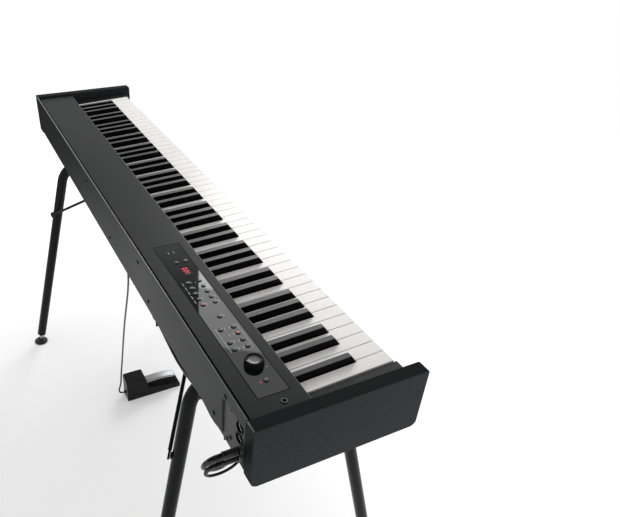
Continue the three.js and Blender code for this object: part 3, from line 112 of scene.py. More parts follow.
# Group of shader nodes with named inputs and outputs, for an effect that many finishes share
def node_group(name, inputs, outputs):
    group = bpy.data.node_groups.new(name, "ShaderNodeTree")
    for label, kind, value in inputs:
        socket = group.interface.new_socket(label, in_out="INPUT", socket_type=kind)
        socket.default_value = value
    for label, kind in outputs:
        group.interface.new_socket(label, in_out="OUTPUT", socket_type=kind)
    return group, group.nodes.new("NodeGroupInput"), group.nodes.new("NodeGroupOutput")


# Fine relief of a coat or moulding, even, or pebbled like leather
def surface_relief_group():
    group, given, result = node_group(
        "surface_relief",
        [
            ("Scale", "NodeSocketFloat", 1500),
            ("Stretch", "NodeSocketVector", (1, 1, 1)),
            ("Pebble", "NodeSocketFloat", 0.0),
        ],
        [("Height", "NodeSocketFloat")],
    )
    nodes, links = group.nodes, group.links
    place = nodes.new("ShaderNodeTexCoord")
    stretched = nodes.new("ShaderNodeVectorMath")
    stretched.operation = "MULTIPLY"
    links.new(place.outputs["Object"], stretched.inputs[0])
    links.new(given.outputs["Stretch"], stretched.inputs[1])
    grain = nodes.new("ShaderNodeTexNoise")
    grain.inputs["Detail"].default_value = 3
    links.new(stretched.outputs[0], grain.inputs["Vector"])
    links.new(given.outputs["Scale"], grain.inputs["Scale"])
    pebble = nodes.new("ShaderNodeTexVoronoi")
    pebble.feature = "SMOOTH_F1"
    pebble.inputs["Smoothness"].default_value = 0.4
    links.new(stretched.outputs[0], pebble.inputs["Vector"])
    links.new(given.outputs["Scale"], pebble.inputs["Scale"])
    blend = nodes.new("ShaderNodeMix")
    blend.data_type = "FLOAT"
    links.new(given.outputs["Pebble"], blend.inputs["Factor"])
    links.new(grain.outputs["Fac"], blend.inputs["A"])
    links.new(pebble.outputs["Distance"], blend.inputs["B"])
    links.new(blend.outputs["Result"], result.inputs["Height"])
    return group


# Soft clouds in the colour and gloss of a finish
def clouded_tone_group():
    group, given, result = node_group(
        "clouded_tone",
        [
            ("Scale", "NodeSocketFloat", 12),
            ("Dark", "NodeSocketColor", (0, 0, 0, 1)),
            ("Light", "NodeSocketColor", (1, 1, 1, 1)),
            ("Gloss", "NodeSocketFloat", 0.3),
            ("Dull", "NodeSocketFloat", 0.5),
        ],
        [("Colour", "NodeSocketColor"), ("Roughness", "NodeSocketFloat")],
    )
    nodes, links = group.nodes, group.links
    place = nodes.new("ShaderNodeTexCoord")
    cloud = nodes.new("ShaderNodeTexNoise")
    cloud.inputs["Detail"].default_value = 4
    links.new(place.outputs["Object"], cloud.inputs["Vector"])
    links.new(given.outputs["Scale"], cloud.inputs["Scale"])
    tone = nodes.new("ShaderNodeMix")
    tone.data_type = "RGBA"
    links.new(cloud.outputs["Fac"], tone.inputs["Factor"])
    links.new(given.outputs["Dark"], tone.inputs["A"])
    links.new(given.outputs["Light"], tone.inputs["B"])
    gloss = nodes.new("ShaderNodeMix")
    gloss.data_type = "FLOAT"
    links.new(cloud.outputs["Fac"], gloss.inputs["Factor"])
    links.new(given.outputs["Gloss"], gloss.inputs["A"])
    links.new(given.outputs["Dull"], gloss.inputs["B"])
    links.new(tone.outputs["Result"], result.inputs["Colour"])
    links.new(gloss.outputs["Result"], result.inputs["Roughness"])
    return group


SURFACE_RELIEF = surface_relief_group()
CLOUDED_TONE = clouded_tone_group()


# Material with an uneven tone and a fine relief, and other sockets of the shader by name
def finish(
    name, dark, light, gloss, dull, relief, scale, pebble=0.0, cloud=12, stretch=(1, 1, 1),
    **sockets
):
    material = bpy.data.materials.new(name)
    material.use_nodes = True
    nodes, links = material.node_tree.nodes, material.node_tree.links
    shader = nodes["Principled BSDF"]
    tone = nodes.new("ShaderNodeGroup")
    tone.node_tree = CLOUDED_TONE
    tone.inputs["Scale"].default_value = cloud
    tone.inputs["Dark"].default_value = (*dark, 1)
    tone.inputs["Light"].default_value = (*light, 1)
    tone.inputs["Gloss"].default_value = gloss
    tone.inputs["Dull"].default_value = dull
    links.new(tone.outputs["Colour"], shader.inputs["Base Color"])
    links.new(tone.outputs["Roughness"], shader.inputs["Roughness"])
    texture = nodes.new("ShaderNodeGroup")
    texture.node_tree = SURFACE_RELIEF
    texture.inputs["Scale"].default_value = scale
    texture.inputs["Pebble"].default_value = pebble
    texture.inputs["Stretch"].default_value = stretch
    bump = nodes.new("ShaderNodeBump")
    bump.inputs["Distance"].default_value = relief * MM
    links.new(texture.outputs["Height"], bump.inputs["Height"])
    links.new(bump.outputs["Normal"], shader.inputs["Normal"])
    for label, value in sockets.items():
        shader.inputs[label.replace("_", " ")].default_value = value
    return material


damper_route = [
    (-627, 175.1, 654),
    (-626.8, 179.8, 653.4),
    (-626, 184.6, 650.6),
    (-624, 187.8, 645.4),
    (-620.9, 188, 637.6),
    (-618, 183.8, 628.6),
    (-616, 176, 620.8),
    (-613, 164, 613.8),
    (-608, 150, 609.5),
    (-600, 138, 608.5),
    (-588, 130.5, 610),
    (-566, 128.2, 611),
    (-524, 129.5, 604),
    (-480, 130.2, 611),
    (-385, 131, 600),
    (-290, 130.2, 611),
    (-258, 128, 605),
    (-238, 108, 601),
    (-226, 62, 599),
    (-214, 12, 604.5),
    (-201, -6, 610),
    (-186, -9.8, 611),
    (-171, -6, 610),
    (-158, 12, 604.5),
    (-146, 62, 599),
    (-133, 106, 601.5),
    (-76, 120.2, 611),
    (-62, 118.6, 608.5),
    (-51, 113.5, 592),
    (-42, 110, 566),
    (-26, 107.5, 518),
    (66, 101.8, 332),
    (134.5, 98.4, 170),
    (159, 98.4, 104),
    (167.4, 102, 50),
    (169.4, 107.6, 25),
    (170, 105.8, 17),
    (170, 102.1, 13.6),
    (170, 96.4, 12.2),
    (170, 94.5, 12.1),
]
line_route = [
    (-627, 175.1, 640.5),
    (-626.9, 180.4, 639.7),
    (-626.6, 185, 636.6),
    (-626.2, 187, 631.4),
    (-625.6, 185.2, 625.8),
    (-625, 178.8, 621.2),
    (-624.2, 166.4, 618.4),
    (-622, 154, 616.8),
    (-616, 139, 614.2),
    (-603, 120, 611.9),
    (-584, 107.4, 611),
    (-562, 104.2, 611),
    (-532, 102, 606),
    (-502, 98.2, 611),
    (-490, 96, 609.5),
    (-472, 88, 599),
    (-457, 75, 590.5),
    (-449.6, 60, 586.8),
    (-447.2, 48, 586),
    (-447.2, 24.3, 586),
    (-447.2, 18.3, 586),
]
COIL_LOOPS = 8
COIL_LAYERS = 4
COIL_STEPS = 32
COIL_PITCH = 4.5
COIL_RADIUS = 22.7
COIL_FIRST_X = -447.19
COIL_MIDDLE_Y = 14
COIL_TOP_Z = 586
COIL_LEAD_OUT = 11
COIL_CLIMB = 0.25
DAMPER_CORD = 4.5
LINE_CORD = 4


# A smooth line through the stops, evenly paced by the square root of their spacing
def flowing_line(stops, steps=6):
    points = [Vector(stop) for stop in stops]
    ends = [2 * points[0] - points[1], *points, 2 * points[-1] - points[-2]]
    line = []
    for a, b, c, d in zip(ends, ends[1:], ends[2:], ends[3:]):
        t1 = (b - a).length ** 0.5
        t2 = t1 + (c - b).length ** 0.5
        t3 = t2 + (d - c).length ** 0.5
        for step in range(steps):
            t = t1 + (t2 - t1) * step / steps
            ab = a.lerp(b, t / t1)
            bc = b.lerp(c, (t - t1) / (t2 - t1))
            cd = c.lerp(d, (t - t2) / (t3 - t2))
            abc = ab.lerp(bc, t / t2)
            bcd = bc.lerp(cd, (t - t1) / (t3 - t1))
            line.append(abc.lerp(bcd, (t - t1) / (t2 - t1)))
    return [*line, points[-1]]


# The coil in and out again, one layer beside the next, climbing where the spiral turns back
def coil_line():
    loops_per_layer = COIL_LOOPS / COIL_LAYERS
    outer_radius = COIL_RADIUS + loops_per_layer * COIL_PITCH / 2
    middle_z = COIL_TOP_Z - outer_radius
    line = []
    for step in range(COIL_LOOPS * COIL_STEPS + 1):
        turns = step / COIL_STEPS
        nearest = math.floor(turns / loops_per_layer + 0.5)
        past = turns - nearest * loops_per_layer
        inward = abs(turns - 2 * loops_per_layer * math.floor(turns / (2 * loops_per_layer) + 0.5))
        radius = outer_radius - COIL_PITCH * inward
        layer = min(turns // loops_per_layer, COIL_LAYERS - 1)
        if abs(past) < COIL_CLIMB and 0 < nearest < COIL_LAYERS:
            layer = nearest - 1 / 2 + past / (2 * COIL_CLIMB)
        angle = 2 * math.pi * turns
        y = COIL_MIDDLE_Y - radius * math.sin(angle)
        line.append(
            Vector((COIL_FIRST_X + layer * COIL_PITCH, y, middle_z + radius * math.cos(angle))),
        )
    return [*line, line[-1] - Vector((0, COIL_LEAD_OUT, 0))]


def lead(name, line, radius):
    curve = bpy.data.curves.new(name, "CURVE")
    curve.dimensions = "3D"
    curve.bevel_depth = radius * MM
    curve.bevel_resolution = 3
    curve.use_fill_caps = True
    spline = curve.splines.new("POLY")
    spline.points.add(len(line) - 1)
    for point, place in zip(spline.points, line):
        point.co = (*(place * MM), 1)
    piece = bpy.data.objects.new(name, curve)
    bpy.context.scene.collection.objects.link(piece)
    piece.data.materials.append(cord_sheath)
    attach(piece, "case")
    return piece


cord_sheath = finish(
    "cord_sheath", (0.003, 0.003, 0.0035), (0.007, 0.007, 0.0075), 0.24, 0.34, 0.03, 900, cloud=40,
)
damper_line = flowing_line(damper_route)
damper_lead = lead("damper_lead_cord", damper_line, DAMPER_CORD / 2)
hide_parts("damper_lead")
line_line = [*flowing_line(line_route), *coil_line()]
line_lead = lead("line_lead_cord", line_line, LINE_CORD / 2)
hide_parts("line_lead", "line_coil")


# Plugs. Each is a moulded barrel with finger ribs, a steel collar and pin, and a ribbed boot
# that the lead leaves by. They are turned shapes, all pushed home but the spare one.
def turned(name, profile, start, along, material, body, nodes=(), steps=32):
    shape = bmesh.new()
    along = Vector(along).normalized()
    side = along.orthogonal().normalized()
    verts = [
        shape.verts.new((Vector(start) + along * reach + side * radius) * MM)
        for radius, reach in profile
    ]
    edges = [shape.edges.new(pair) for pair in zip(verts, verts[1:])]
    bmesh.ops.spin(
        shape,
        geom=[*verts, *edges],
        cent=Vector(start) * MM,
        axis=along,
        angle=2 * math.pi,
        steps=steps,
        use_merge=True,
    )
    bmesh.ops.remove_doubles(shape, verts=shape.verts, dist=0.002 * MM)
    bmesh.ops.recalc_face_normals(shape, faces=shape.faces)
    return placed(name, shape, material, body, nodes)


def placed(name, shape, material, body, nodes=(), smooth=True):
    mesh = bpy.data.meshes.new(name)
    if smooth:
        for face in shape.faces:
            face.smooth = True
    shape.to_mesh(mesh)
    shape.free()
    if smooth:
        mesh.set_sharp_from_angle(angle=math.radians(32))
    mesh.materials.append(material)
    piece = bpy.data.objects.new(name, mesh)
    bpy.context.scene.collection.objects.link(piece)
    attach(piece, body)
    if nodes:
        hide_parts(*nodes)
    return piece


plug_moulding = finish(
    "plug_moulding", (0.003, 0.003, 0.0035), (0.006, 0.006, 0.0065), 0.13, 0.20, 0.01, 1200,
    cloud=60,
)
plug_steel = finish(
    "plug_steel", (0.52, 0.52, 0.53), (0.66, 0.66, 0.67), 0.16, 0.28, 0.01, 900, cloud=80,
    Metallic=1.0,
)


def plug_profile(barrel, length, boot, boot_length):
    profile = [(0, -0.4), (barrel - 0.8, -0.4), (barrel, 0.6)]
    ribs = 7
    for rib in range(ribs):
        at = 3 + rib * (length - 6) / ribs
        profile += [
            (barrel, at), (barrel - 0.45, at + 0.6), (barrel - 0.45, at + 1.2), (barrel, at + 1.8),
        ]
    profile += [(barrel, length - 1.2), (barrel - 0.9, length), (barrel * 0.8, length)]
    rings = 4
    for ring in range(rings):
        at = length + 0.8 + ring * (boot_length - 1.6) / rings
        radius = barrel * 0.8 + (boot - barrel * 0.8) * (at - length) / boot_length
        profile += [
            (radius, at), (radius, at + 0.9), (radius - 0.6, at + 1.1), (radius - 0.6, at + 1.7),
        ]
    profile += [
        (boot, length + boot_length - 0.4), (boot - 0.4, length + boot_length),
        (0, length + boot_length),
    ]
    return profile


PLUG_SIZES = {
    "damper_plug": (6, 23, 4.9, 10), "line_plug": (4.6, 24, 3.9, 9),
    "line_end_plug": (4.6, 24, 3.9, 9),
}


RELIEF_SIDES = 20
RELIEF_RIDGE = 0.12
RELIEF_RIDGE_RATE = 2.6


# Skin over a row of rings, closed at both ends
def skin(shape, rings):
    for lower, upper in zip(rings, rings[1:]):
        for side in range(len(lower)):
            on = (side + 1) % len(lower)
            shape.faces.new((lower[side], lower[on], upper[on], upper[side]))
    shape.faces.new(rings[0])
    shape.faces.new(rings[-1])
    bmesh.ops.recalc_face_normals(shape, faces=shape.faces)


# Tapered sleeve along the first bend of a lead, which keeps it from kinking at its plug
def bend_relief(name, line, reach, first_radius, last_radius):
    shape = bmesh.new()
    rings = []
    gone = 0.0
    for before, point, after in zip([line[0], *line], line, line[1:]):
        gone += (point - before).length
        if gone > reach:
            break
        share = gone / reach
        ridge = RELIEF_RIDGE * math.cos(gone * RELIEF_RIDGE_RATE)
        radius = first_radius + (last_radius - first_radius) * share + ridge
        turn = (after - before).to_track_quat("Z", "Y").to_matrix()
        ring = []
        for side in range(RELIEF_SIDES):
            angle = 2 * math.pi * side / RELIEF_SIDES
            rim = Vector((radius * math.cos(angle), radius * math.sin(angle), 0))
            ring.append(shape.verts.new((point + turn @ rim) * MM))
        rings.append(ring)
    skin(shape, rings)
    return placed(name, shape, plug_moulding, "case")


for node, (barrel, length, boot, boot_length) in PLUG_SIZES.items():
    low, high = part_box(node)
    middle = (low + high) / 2 / MM
    start_y = high.y / MM - length - boot_length
    start = (middle.x, start_y, middle.z)
    turned(
        node + "_barrel", plug_profile(barrel, length, boot, boot_length), start, (0, 1, 0),
        plug_moulding, "case", [node],
    )
    pin_profile = [
        (0, -26), (1.4, -26), (2.6, -24.4), (3.1, -21.5), (2.4, -20.6), (3.1, -19.4),
        (3.1, -13), (2.8, -12.8), (2.8, -12), (3.1, -11.8),
        (3.1, -6), (2.8, -5.8), (2.8, -5), (3.1, -4.8),
        (3.1, -0.9), (4.1, -0.7), (4.1, -0.42), (0, -0.42),
    ]
    turned(
        node + "_pin", pin_profile, start, (0, 1, 0), plug_steel, "case",
    )

bend_relief(
    "damper_relief", damper_line, reach=34, first_radius=4.7, last_radius=2.7,
)
bend_relief(
    "line_relief", line_line, reach=20, first_radius=3.7, last_radius=2.4,
)

tie_strap = frame["nodes"]["coil_tie"]


# Levelling feet. Each is a moulded disc with a dished neck, snapped on the ball of a threaded stem,
# and it turns by hand to level the stand.
LEG_TOP = Vector((438.6, 123.7, 620))
LEG_FOOT = Vector((505, 265.4, 0))
BALL_HEIGHT = 9.5


def leg_point(side, way, height):
    place = LEG_FOOT.lerp(LEG_TOP, height / LEG_TOP.z)
    return Vector((side * place.x, way * place.y, height))


foot_moulding = finish(
    "foot_moulding", (0.011, 0.011, 0.012), (0.024, 0.024, 0.025), 0.48, 0.66, 0.04, 1500, cloud=45,
)
foot_profile = [
    (0, 0.6), (15.5, 0.6), (16, 0), (18.4, 0), (19.5, 0.9), (19.5, 4), (18.9, 4.8), (17.4, 5.3),
    (16.8, 5.2), (13, 8.6), (10.4, 11.4), (9.2, 12.6), (8.2, 13.2), (7.4, 14.4), (6.7, 15),
    (6, 14.8), (5.3, 11.6), (5.59, 9.8), (5.1, 7.2), (3.6, 5.2), (1.8, 4.2), (0, 3.9),
]
FEET = {
    "bass_front": (-1, -1), "bass_rear": (-1, 1), "treble_front": (1, -1), "treble_rear": (1, 1),
}
for corner, (side, way) in FEET.items():
    ball = leg_point(side, way, BALL_HEIGHT)
    node = "levelling_foot_" + corner
    body = body_of(frame["nodes"][node])[0]
    turned(
        node + "_disc", foot_profile, (ball.x, ball.y, 0), (0, 0, 1), foot_moulding, body,
        [node], 48,
    )


# Stand frames. A frame is one steel tube, enamelled black and bent twice, so that both legs
# splay. It has welded plates bolted under the case, a plug and threaded stem in each leg and a
# lug for the brace.
TUBE_RADIUS = 12.5
TUBE_BEND = 55
RUN_HEIGHT = 602.5
PLATE_TOP = 617.4
LEG_END = 33
PLATE_THICKNESS = 3
PLATE_HALF_LENGTH = 25
PLATE_HALF_WIDTH = 22
PLATE_SPREAD = 48
BOLT_HALF_LENGTH = 19
BOLT_HALF_WIDTH = 14
BALL_RADIUS = 5
STEM_THREADS = 12
THREAD_PITCH = 1.25


def bent_tube(corners, bend, radius, sides=32, bend_steps=12):
    shape = bmesh.new()
    way = (corners[1] - corners[0]).normalized()
    start = Matrix.Translation(corners[0] * MM) @ way.to_track_quat("Z", "Y").to_matrix().to_4x4()
    bmesh.ops.create_circle(shape, cap_ends=True, segments=sides, radius=radius * MM, matrix=start)
    ring = list(shape.edges)
    reached = corners[0]

    def run_to(place):
        made = bmesh.ops.extrude_edge_only(shape, edges=ring)["geom"]
        verts = [item for item in made if isinstance(item, bmesh.types.BMVert)]
        bmesh.ops.translate(shape, vec=(place - reached) * MM, verts=verts)
        fresh = set(verts)
        return [
            edge for edge in made
            if isinstance(edge, bmesh.types.BMEdge) and fresh >= set(edge.verts)
        ]

    for before, corner, after in zip(corners, corners[1:], corners[2:]):
        back = (before - corner).normalized()
        on = (after - corner).normalized()
        half = back.angle(on) / 2
        centre = corner + (back + on).normalized() * bend / math.sin(half)
        first = corner + back * bend / math.tan(half)
        last = corner + on * bend / math.tan(half)
        ring = run_to(first)
        reached = first
        made = bmesh.ops.spin(
            shape,
            geom=[*{vert for edge in ring for vert in edge.verts}, *ring],
            cent=centre * MM,
            axis=(first - centre).cross(last - centre).normalized(),
            angle=(first - centre).angle(last - centre),
            steps=bend_steps,
            use_duplicate=False,
        )["geom_last"]
        ring = [item for item in made if isinstance(item, bmesh.types.BMEdge)]
        reached = last
    ring = run_to(corners[-1])
    bmesh.ops.holes_fill(shape, edges=ring)
    bmesh.ops.recalc_face_normals(shape, faces=shape.faces)
    return shape


def eased(shape, edges, rounding, segments):
    return bmesh.ops.bevel(
        shape,
        geom=edges,
        offset=rounding * MM,
        offset_type="OFFSET",
        segments=segments,
        profile=0.5,
        affect="EDGES",
        clamp_overlap=True,
        material=-1,
    )


def slab(shape, low, high, rounding, segments=2):
    verts = bmesh.ops.create_cube(shape, size=1)["verts"]
    bmesh.ops.scale(shape, vec=(Vector(high) - Vector(low)) * MM, verts=verts)
    bmesh.ops.translate(shape, vec=(Vector(low) + Vector(high)) / 2 * MM, verts=verts)
    eased(shape, list({edge for vert in verts for edge in vert.link_edges}), rounding, segments)


def fastener(shape, place, along, radius, height, sides, recess=0.0):
    turn = Vector(along).to_track_quat("Z", "Y").to_matrix().to_4x4()
    made = bmesh.ops.create_cone(
        shape,
        cap_ends=True,
        segments=sides,
        radius1=radius * MM,
        radius2=(radius - 0.25 * height) * MM,
        depth=height * MM,
        matrix=Matrix.Translation(Vector(place) * MM) @ turn,
    )
    caps = {face for vert in made["verts"] for face in vert.link_faces}
    top = max(caps, key=lambda face: face.calc_center_median().dot(Vector(along)))
    if recess:
        bmesh.ops.inset_individual(shape, faces=[top], thickness=0.45 * radius * MM, depth=0)
        bmesh.ops.inset_individual(
            shape, faces=[top], thickness=0.04 * radius * MM, depth=-recess * MM,
        )


stand_enamel = finish(
    "stand_enamel", (0.003, 0.0033, 0.0036), (0.006, 0.0066, 0.0072), 0.18, 0.26, 0.02, 1600,
    cloud=15, Specular_IOR_Level=0.12,
)
stem_steel = finish(
    "stem_steel", (0.30, 0.30, 0.31), (0.44, 0.44, 0.45), 0.28, 0.42, 0.02, 1200, cloud=60,
    Metallic=1.0,
)
BRACE_LOW = Vector((447.3, 175, 463.9))
BRACE_HIGH = Vector((256, 38.2, 611.7))
for end, side in (("bass", -1), ("treble", 1)):
    node = "stand_frame_" + end
    route = [
        leg_point(side, -1, LEG_END), leg_point(side, -1, RUN_HEIGHT),
        leg_point(side, 1, RUN_HEIGHT), leg_point(side, 1, LEG_END),
    ]
    tube = bent_tube(route, TUBE_BEND, TUBE_RADIUS)
    placed(node + "_tube", tube, stand_enamel, "case", [node])
    plates = bmesh.new()
    plate_x = leg_point(side, 1, RUN_HEIGHT).x
    for plate_y in (-PLATE_SPREAD, PLATE_SPREAD):
        slab(
            plates,
            (plate_x - PLATE_HALF_LENGTH, plate_y - PLATE_HALF_WIDTH, PLATE_TOP - PLATE_THICKNESS),
            (plate_x + PLATE_HALF_LENGTH, plate_y + PLATE_HALF_WIDTH, PLATE_TOP),
            0.6,
        )
        for bolt_x in (plate_x - BOLT_HALF_LENGTH, plate_x + BOLT_HALF_LENGTH):
            for bolt_y in (plate_y - BOLT_HALF_WIDTH, plate_y + BOLT_HALF_WIDTH):
                fastener(plates, (bolt_x, bolt_y, PLATE_TOP - 4.4), (0, 0, -1), 4.2, 3, 6)
    placed(node + "_plates", plates, stand_enamel, "case", smooth=False)
    for way, name in ((-1, "front"), (1, "rear")):
        ball = leg_point(side, way, BALL_HEIGHT)
        up = leg_point(side, way, LEG_END) - ball
        profile = [
            (BALL_RADIUS * math.cos(math.radians(a)), BALL_RADIUS * math.sin(math.radians(a)))
            for a in range(-90, 41, 13)
        ]
        profile += [(3.4, 3.9), (3.6, 5)]
        for thread in range(STEM_THREADS):
            at = 6.5 + THREAD_PITCH * thread
            profile += [(3.15, at), (3.6, at + 0.6)]
        profile += [(3.4, 22), (0, 22)]
        turned(f"{node}_{name}_stem", profile, ball, up, stem_steel, "case", steps=20)
        nut = [(0, 18.6), (6, 18.6), (6.9, 19.3), (6.9, 22.4), (6.3, 23), (0, 23)]
        turned(f"{node}_{name}_nut", nut, ball, up, stem_steel, "case", steps=6)
        plug = [
            (0, up.length - 1), (11.2, up.length - 1), (12, up.length - 0.4), (12, up.length + 2),
            (0, up.length + 2),
        ]
        turned(f"{node}_{name}_plug", plug, ball, up, foot_moulding, "case", steps=32)
    low = Vector((side * BRACE_LOW.x, BRACE_LOW.y, BRACE_LOW.z))
    high = Vector((side * BRACE_HIGH.x, BRACE_HIGH.y, BRACE_HIGH.z))
    along = (high - low).normalized()
    down = (leg_point(side, 1, 0) - leg_point(side, 1, LEG_TOP.z)).normalized()
    to_leg = leg_point(side, 1, low.z) - low
    to_leg -= down * to_leg.dot(down)
    facing = (to_leg - along * to_leg.dot(along)).normalized()
    lug = [
        (0, 2.3), (5.4, 2.3), (6, 2.9), (6, to_leg.length - 10), (5, to_leg.length - 4),
        (0, to_leg.length - 4),
    ]
    turned(node + "_lug", lug, low, facing, stand_enamel, "case", steps=24)


# Saddle pads and brace rods. The pads are strips of rubber between plate and tray. The rods are
# round steel with flattened eyes, from a boss under the tray to the rear leg, and keep the frames
# from swaying.


# Copy of a CAD node with its edges rounded, in the node's place
def softened(node, rounding, material, sharp=28, segments=2, least=None, curved=4):
    shape = bmesh.new()
    shape.from_mesh(frame["nodes"][node].data)
    bmesh.ops.remove_doubles(shape, verts=shape.verts, dist=0.004 * MM)
    bmesh.ops.dissolve_limit(
        shape, angle_limit=math.radians(0.5), verts=shape.verts, edges=shape.edges,
    )
    edges = []
    for face in shape.faces:
        strip_width = 2 * face.calc_area() / face.calc_perimeter()
        face.smooth = strip_width < curved * MM and any(
            math.radians(2) < edge.calc_face_angle(0) < math.radians(sharp) for edge in face.edges
        )
    for edge in shape.edges:
        long_enough = edge.calc_length() > (least or 2 * rounding) * MM
        if edge.calc_face_angle(0) > math.radians(sharp) and long_enough:
            edges.append(edge)
    for face in eased(shape, edges, rounding, segments)["faces"]:
        face.smooth = True
    bmesh.ops.triangulate(shape, faces=[face for face in shape.faces if len(face.verts) > 4])
    return placed(
        node + "_body", shape, material, body_of(frame["nodes"][node])[0], [node],
        smooth=False,
    )


pad_rubber = finish(
    "pad_rubber", (0.012, 0.012, 0.012), (0.022, 0.022, 0.022), 0.7, 0.85, 0.05, 1500, cloud=40,
)
for end in ("bass", "treble"):
    softened("saddle_pad_" + end, 0.5, pad_rubber)
    softened("brace_rod_" + end, 0.5, stand_enamel)


# Bottom tray. It is folded steel sheet with a flange all round, hooks for the leads and bosses
# for the braces, painted black, and its underside is screwed to the cheeks and the panel behind.
CASE = Vector((0, 10.2, 620))
sheet_paint = finish(
    "sheet_paint", (0.010, 0.0112, 0.0108), (0.015, 0.0165, 0.016), 0.40, 0.50, 0.02, 2200, cloud=6,
    Specular_IOR_Level=0.1,
)
screw_black = finish(
    "screw_black", (0.010, 0.010, 0.011), (0.020, 0.020, 0.021), 0.30, 0.45, 0.02, 1500, cloud=80,
    Metallic=0.6,
)
softened("bottom_tray", 0.5, sheet_paint)
tray_screws = bmesh.new()
for screw_x in (-610, -380, -190, 0, 190, 380, 610):
    for screw_y in (-96, 112):
        fastener(
            tray_screws, CASE + Vector((screw_x, screw_y, -0.5)), (0, 0, -1), 3.6, 1.6, 18, 0.7,
        )
placed("tray_screws", tray_screws, screw_black, "case", smooth=False)


# Rear panel. It is bent steel sheet with a rounded top lip, cut out round the jacks, and it stops
# short of the tray. Black pan-head screws hold it to the board posts and brackets inside.
# Painted highlight: a lighter colour on the rear lip and on rounded edges elsewhere stands in for
# the bright line of light they catch.
painted_highlight_edge = finish(
    "painted_highlight_edge", (0.085, 0.088, 0.088), (0.12, 0.124, 0.124), 0.26, 0.36, 0.01, 1800, cloud=10,
)
LIP_BOTTOM = 0.7238
JACK_OPENING_X = -0.575
bent_sheet = softened("rear_panel", 0.6, sheet_paint)
bent_sheet.data.materials.append(painted_highlight_edge)
# The lip's upward faces and the wall at the jack opening take the lighter colour, a painted
# highlight.
for face in bent_sheet.data.polygons:
    on_lip = face.normal.z > 0.4 and face.center.z > LIP_BOTTOM
    if on_lip or face.normal.x < -0.8 and abs(face.center.x - JACK_OPENING_X) < 0.001:
        face.material_index = 1
REAR_SCREWS = [
    (-582.6, 88.5), (-548, 25.5), (-274, 30), (-226, 81.5), (-43, 31), (120, 81.5), (200, 30),
    (430, 81.5), (430, 30), (610, 81.5), (610, 30),
]
rear_screws = bmesh.new()
for screw_x, screw_z in REAR_SCREWS:
    fastener(rear_screws, CASE + Vector((screw_x, 132.2, screw_z)), (0, 1, 0), 3.7, 1.8, 18, 0.8)
for screw_x, screw_z in ((-597, 25.5), (-597, 79), (-588, 14.5)):
    fastener(rear_screws, CASE + Vector((screw_x, 129.4, screw_z)), (0, 1, 0), 3.4, 1.8, 18, 0.8)
placed("rear_screws", rear_screws, screw_black, "case", smooth=False)


# Main board. A green circuit board with chips and a header stands on the rear panel's posts, where
# the cover hides it. Its tracks show through the lacquer as a lighter green.
def board_finish(name):
    material = finish(
        name, (0.010, 0.055, 0.028), (0.016, 0.080, 0.042), 0.30, 0.45, 0.03, 900, cloud=90,
    )
    nodes, links = material.node_tree.nodes, material.node_tree.links
    place = nodes.new("ShaderNodeTexCoord")
    tracks = nodes.new("ShaderNodeTexBrick")
    tracks.inputs["Scale"].default_value = 160
    tracks.inputs["Mortar Size"].default_value = 0.03
    tracks.inputs["Color1"].default_value = (0.010, 0.055, 0.028, 1)
    tracks.inputs["Color2"].default_value = (0.014, 0.070, 0.036, 1)
    tracks.inputs["Mortar"].default_value = (0.045, 0.17, 0.08, 1)
    links.new(place.outputs["Object"], tracks.inputs["Vector"])
    links.new(tracks.outputs["Color"], nodes["Principled BSDF"].inputs["Base Color"])
    return material


def coat(piece, material):
    piece.data.materials.clear()
    piece.data.materials.append(material)


board_green = board_finish("board_green")
for node in ("main_board", "panel_board"):
    coat(frame["nodes"][node], board_green)


# Cheeks. The two end panels are moulded, with a grain like leather, and rounded where a hand
# meets them. They are screwed to tray and rear panel from inside.
cheek_grain = finish(
    "cheek_grain", (0.006, 0.0074, 0.0095), (0.025, 0.0285, 0.0335), 0.40, 0.54, 0.5, 260, 0.8,
    cloud=110, Specular_IOR_Level=0.1,
)
# A plain colour, darker than the grained sides, for the cheeks' end, top and bottom faces.
cheek_darker_faces = finish(
    "cheek_darker_faces", (0.008, 0.0085, 0.009), (0.012, 0.013, 0.0135), 0.42, 0.52, 0.02, 1500,
    cloud=20, Specular_IOR_Level=0.02,
)
for node in ("cheek_bass", "cheek_treble"):
    board = softened(node, 0.5, cheek_grain, sharp=40)
    board.data.materials.append(cheek_darker_faces)
    board.data.materials.append(painted_highlight_edge)
    for face in board.data.polygons:
        # The rounded rear top edge takes the lighter colour, a painted highlight.
        if face.normal.z > 0.25 and face.normal.y > 0.25 and abs(face.normal.x) < 0.5:
            face.material_index = 2
        # The end, top and bottom faces take the plain darker colour.
        elif abs(face.normal.x) < 0.5:
            face.material_index = 1


# End blocks and key slip. Fine-grained black mouldings close the keyboard at both ends, falling
# with the keys, and a long strip hides the keys' fronts. All three stand on the tray's front
# flange.
block_moulding = finish(
    "block_moulding", (0.010, 0.011, 0.012), (0.018, 0.019, 0.020), 0.40, 0.52, 0.04, 1500,
    cloud=30, Specular_IOR_Level=0.25,
)
softened("end_block_bass", 0.7, block_moulding)
softened("end_block_treble", 0.7, block_moulding)
softened("key_slip", 0.7, block_moulding)


# Key frame and stop felt. A pressed steel frame carries the fulcrum rail and the rail under the
# keys' fronts, and a strip of red felt on that rail quiets each key as it lands.
frame_zinc = finish(
    "frame_zinc", (0.34, 0.35, 0.36), (0.46, 0.47, 0.48), 0.32, 0.48, 0.01, 800, cloud=18,
    Metallic=1.0,
)
felt_red = finish(
    "felt_red", (0.15, 0.015, 0.02), (0.22, 0.025, 0.035), 0.9, 1.0, 0.35, 1400, cloud=60,
    stretch=(1, 0.4, 1),
)
softened("key_frame", 0.4, frame_zinc)
softened("stop_felt", 0.5, felt_red)


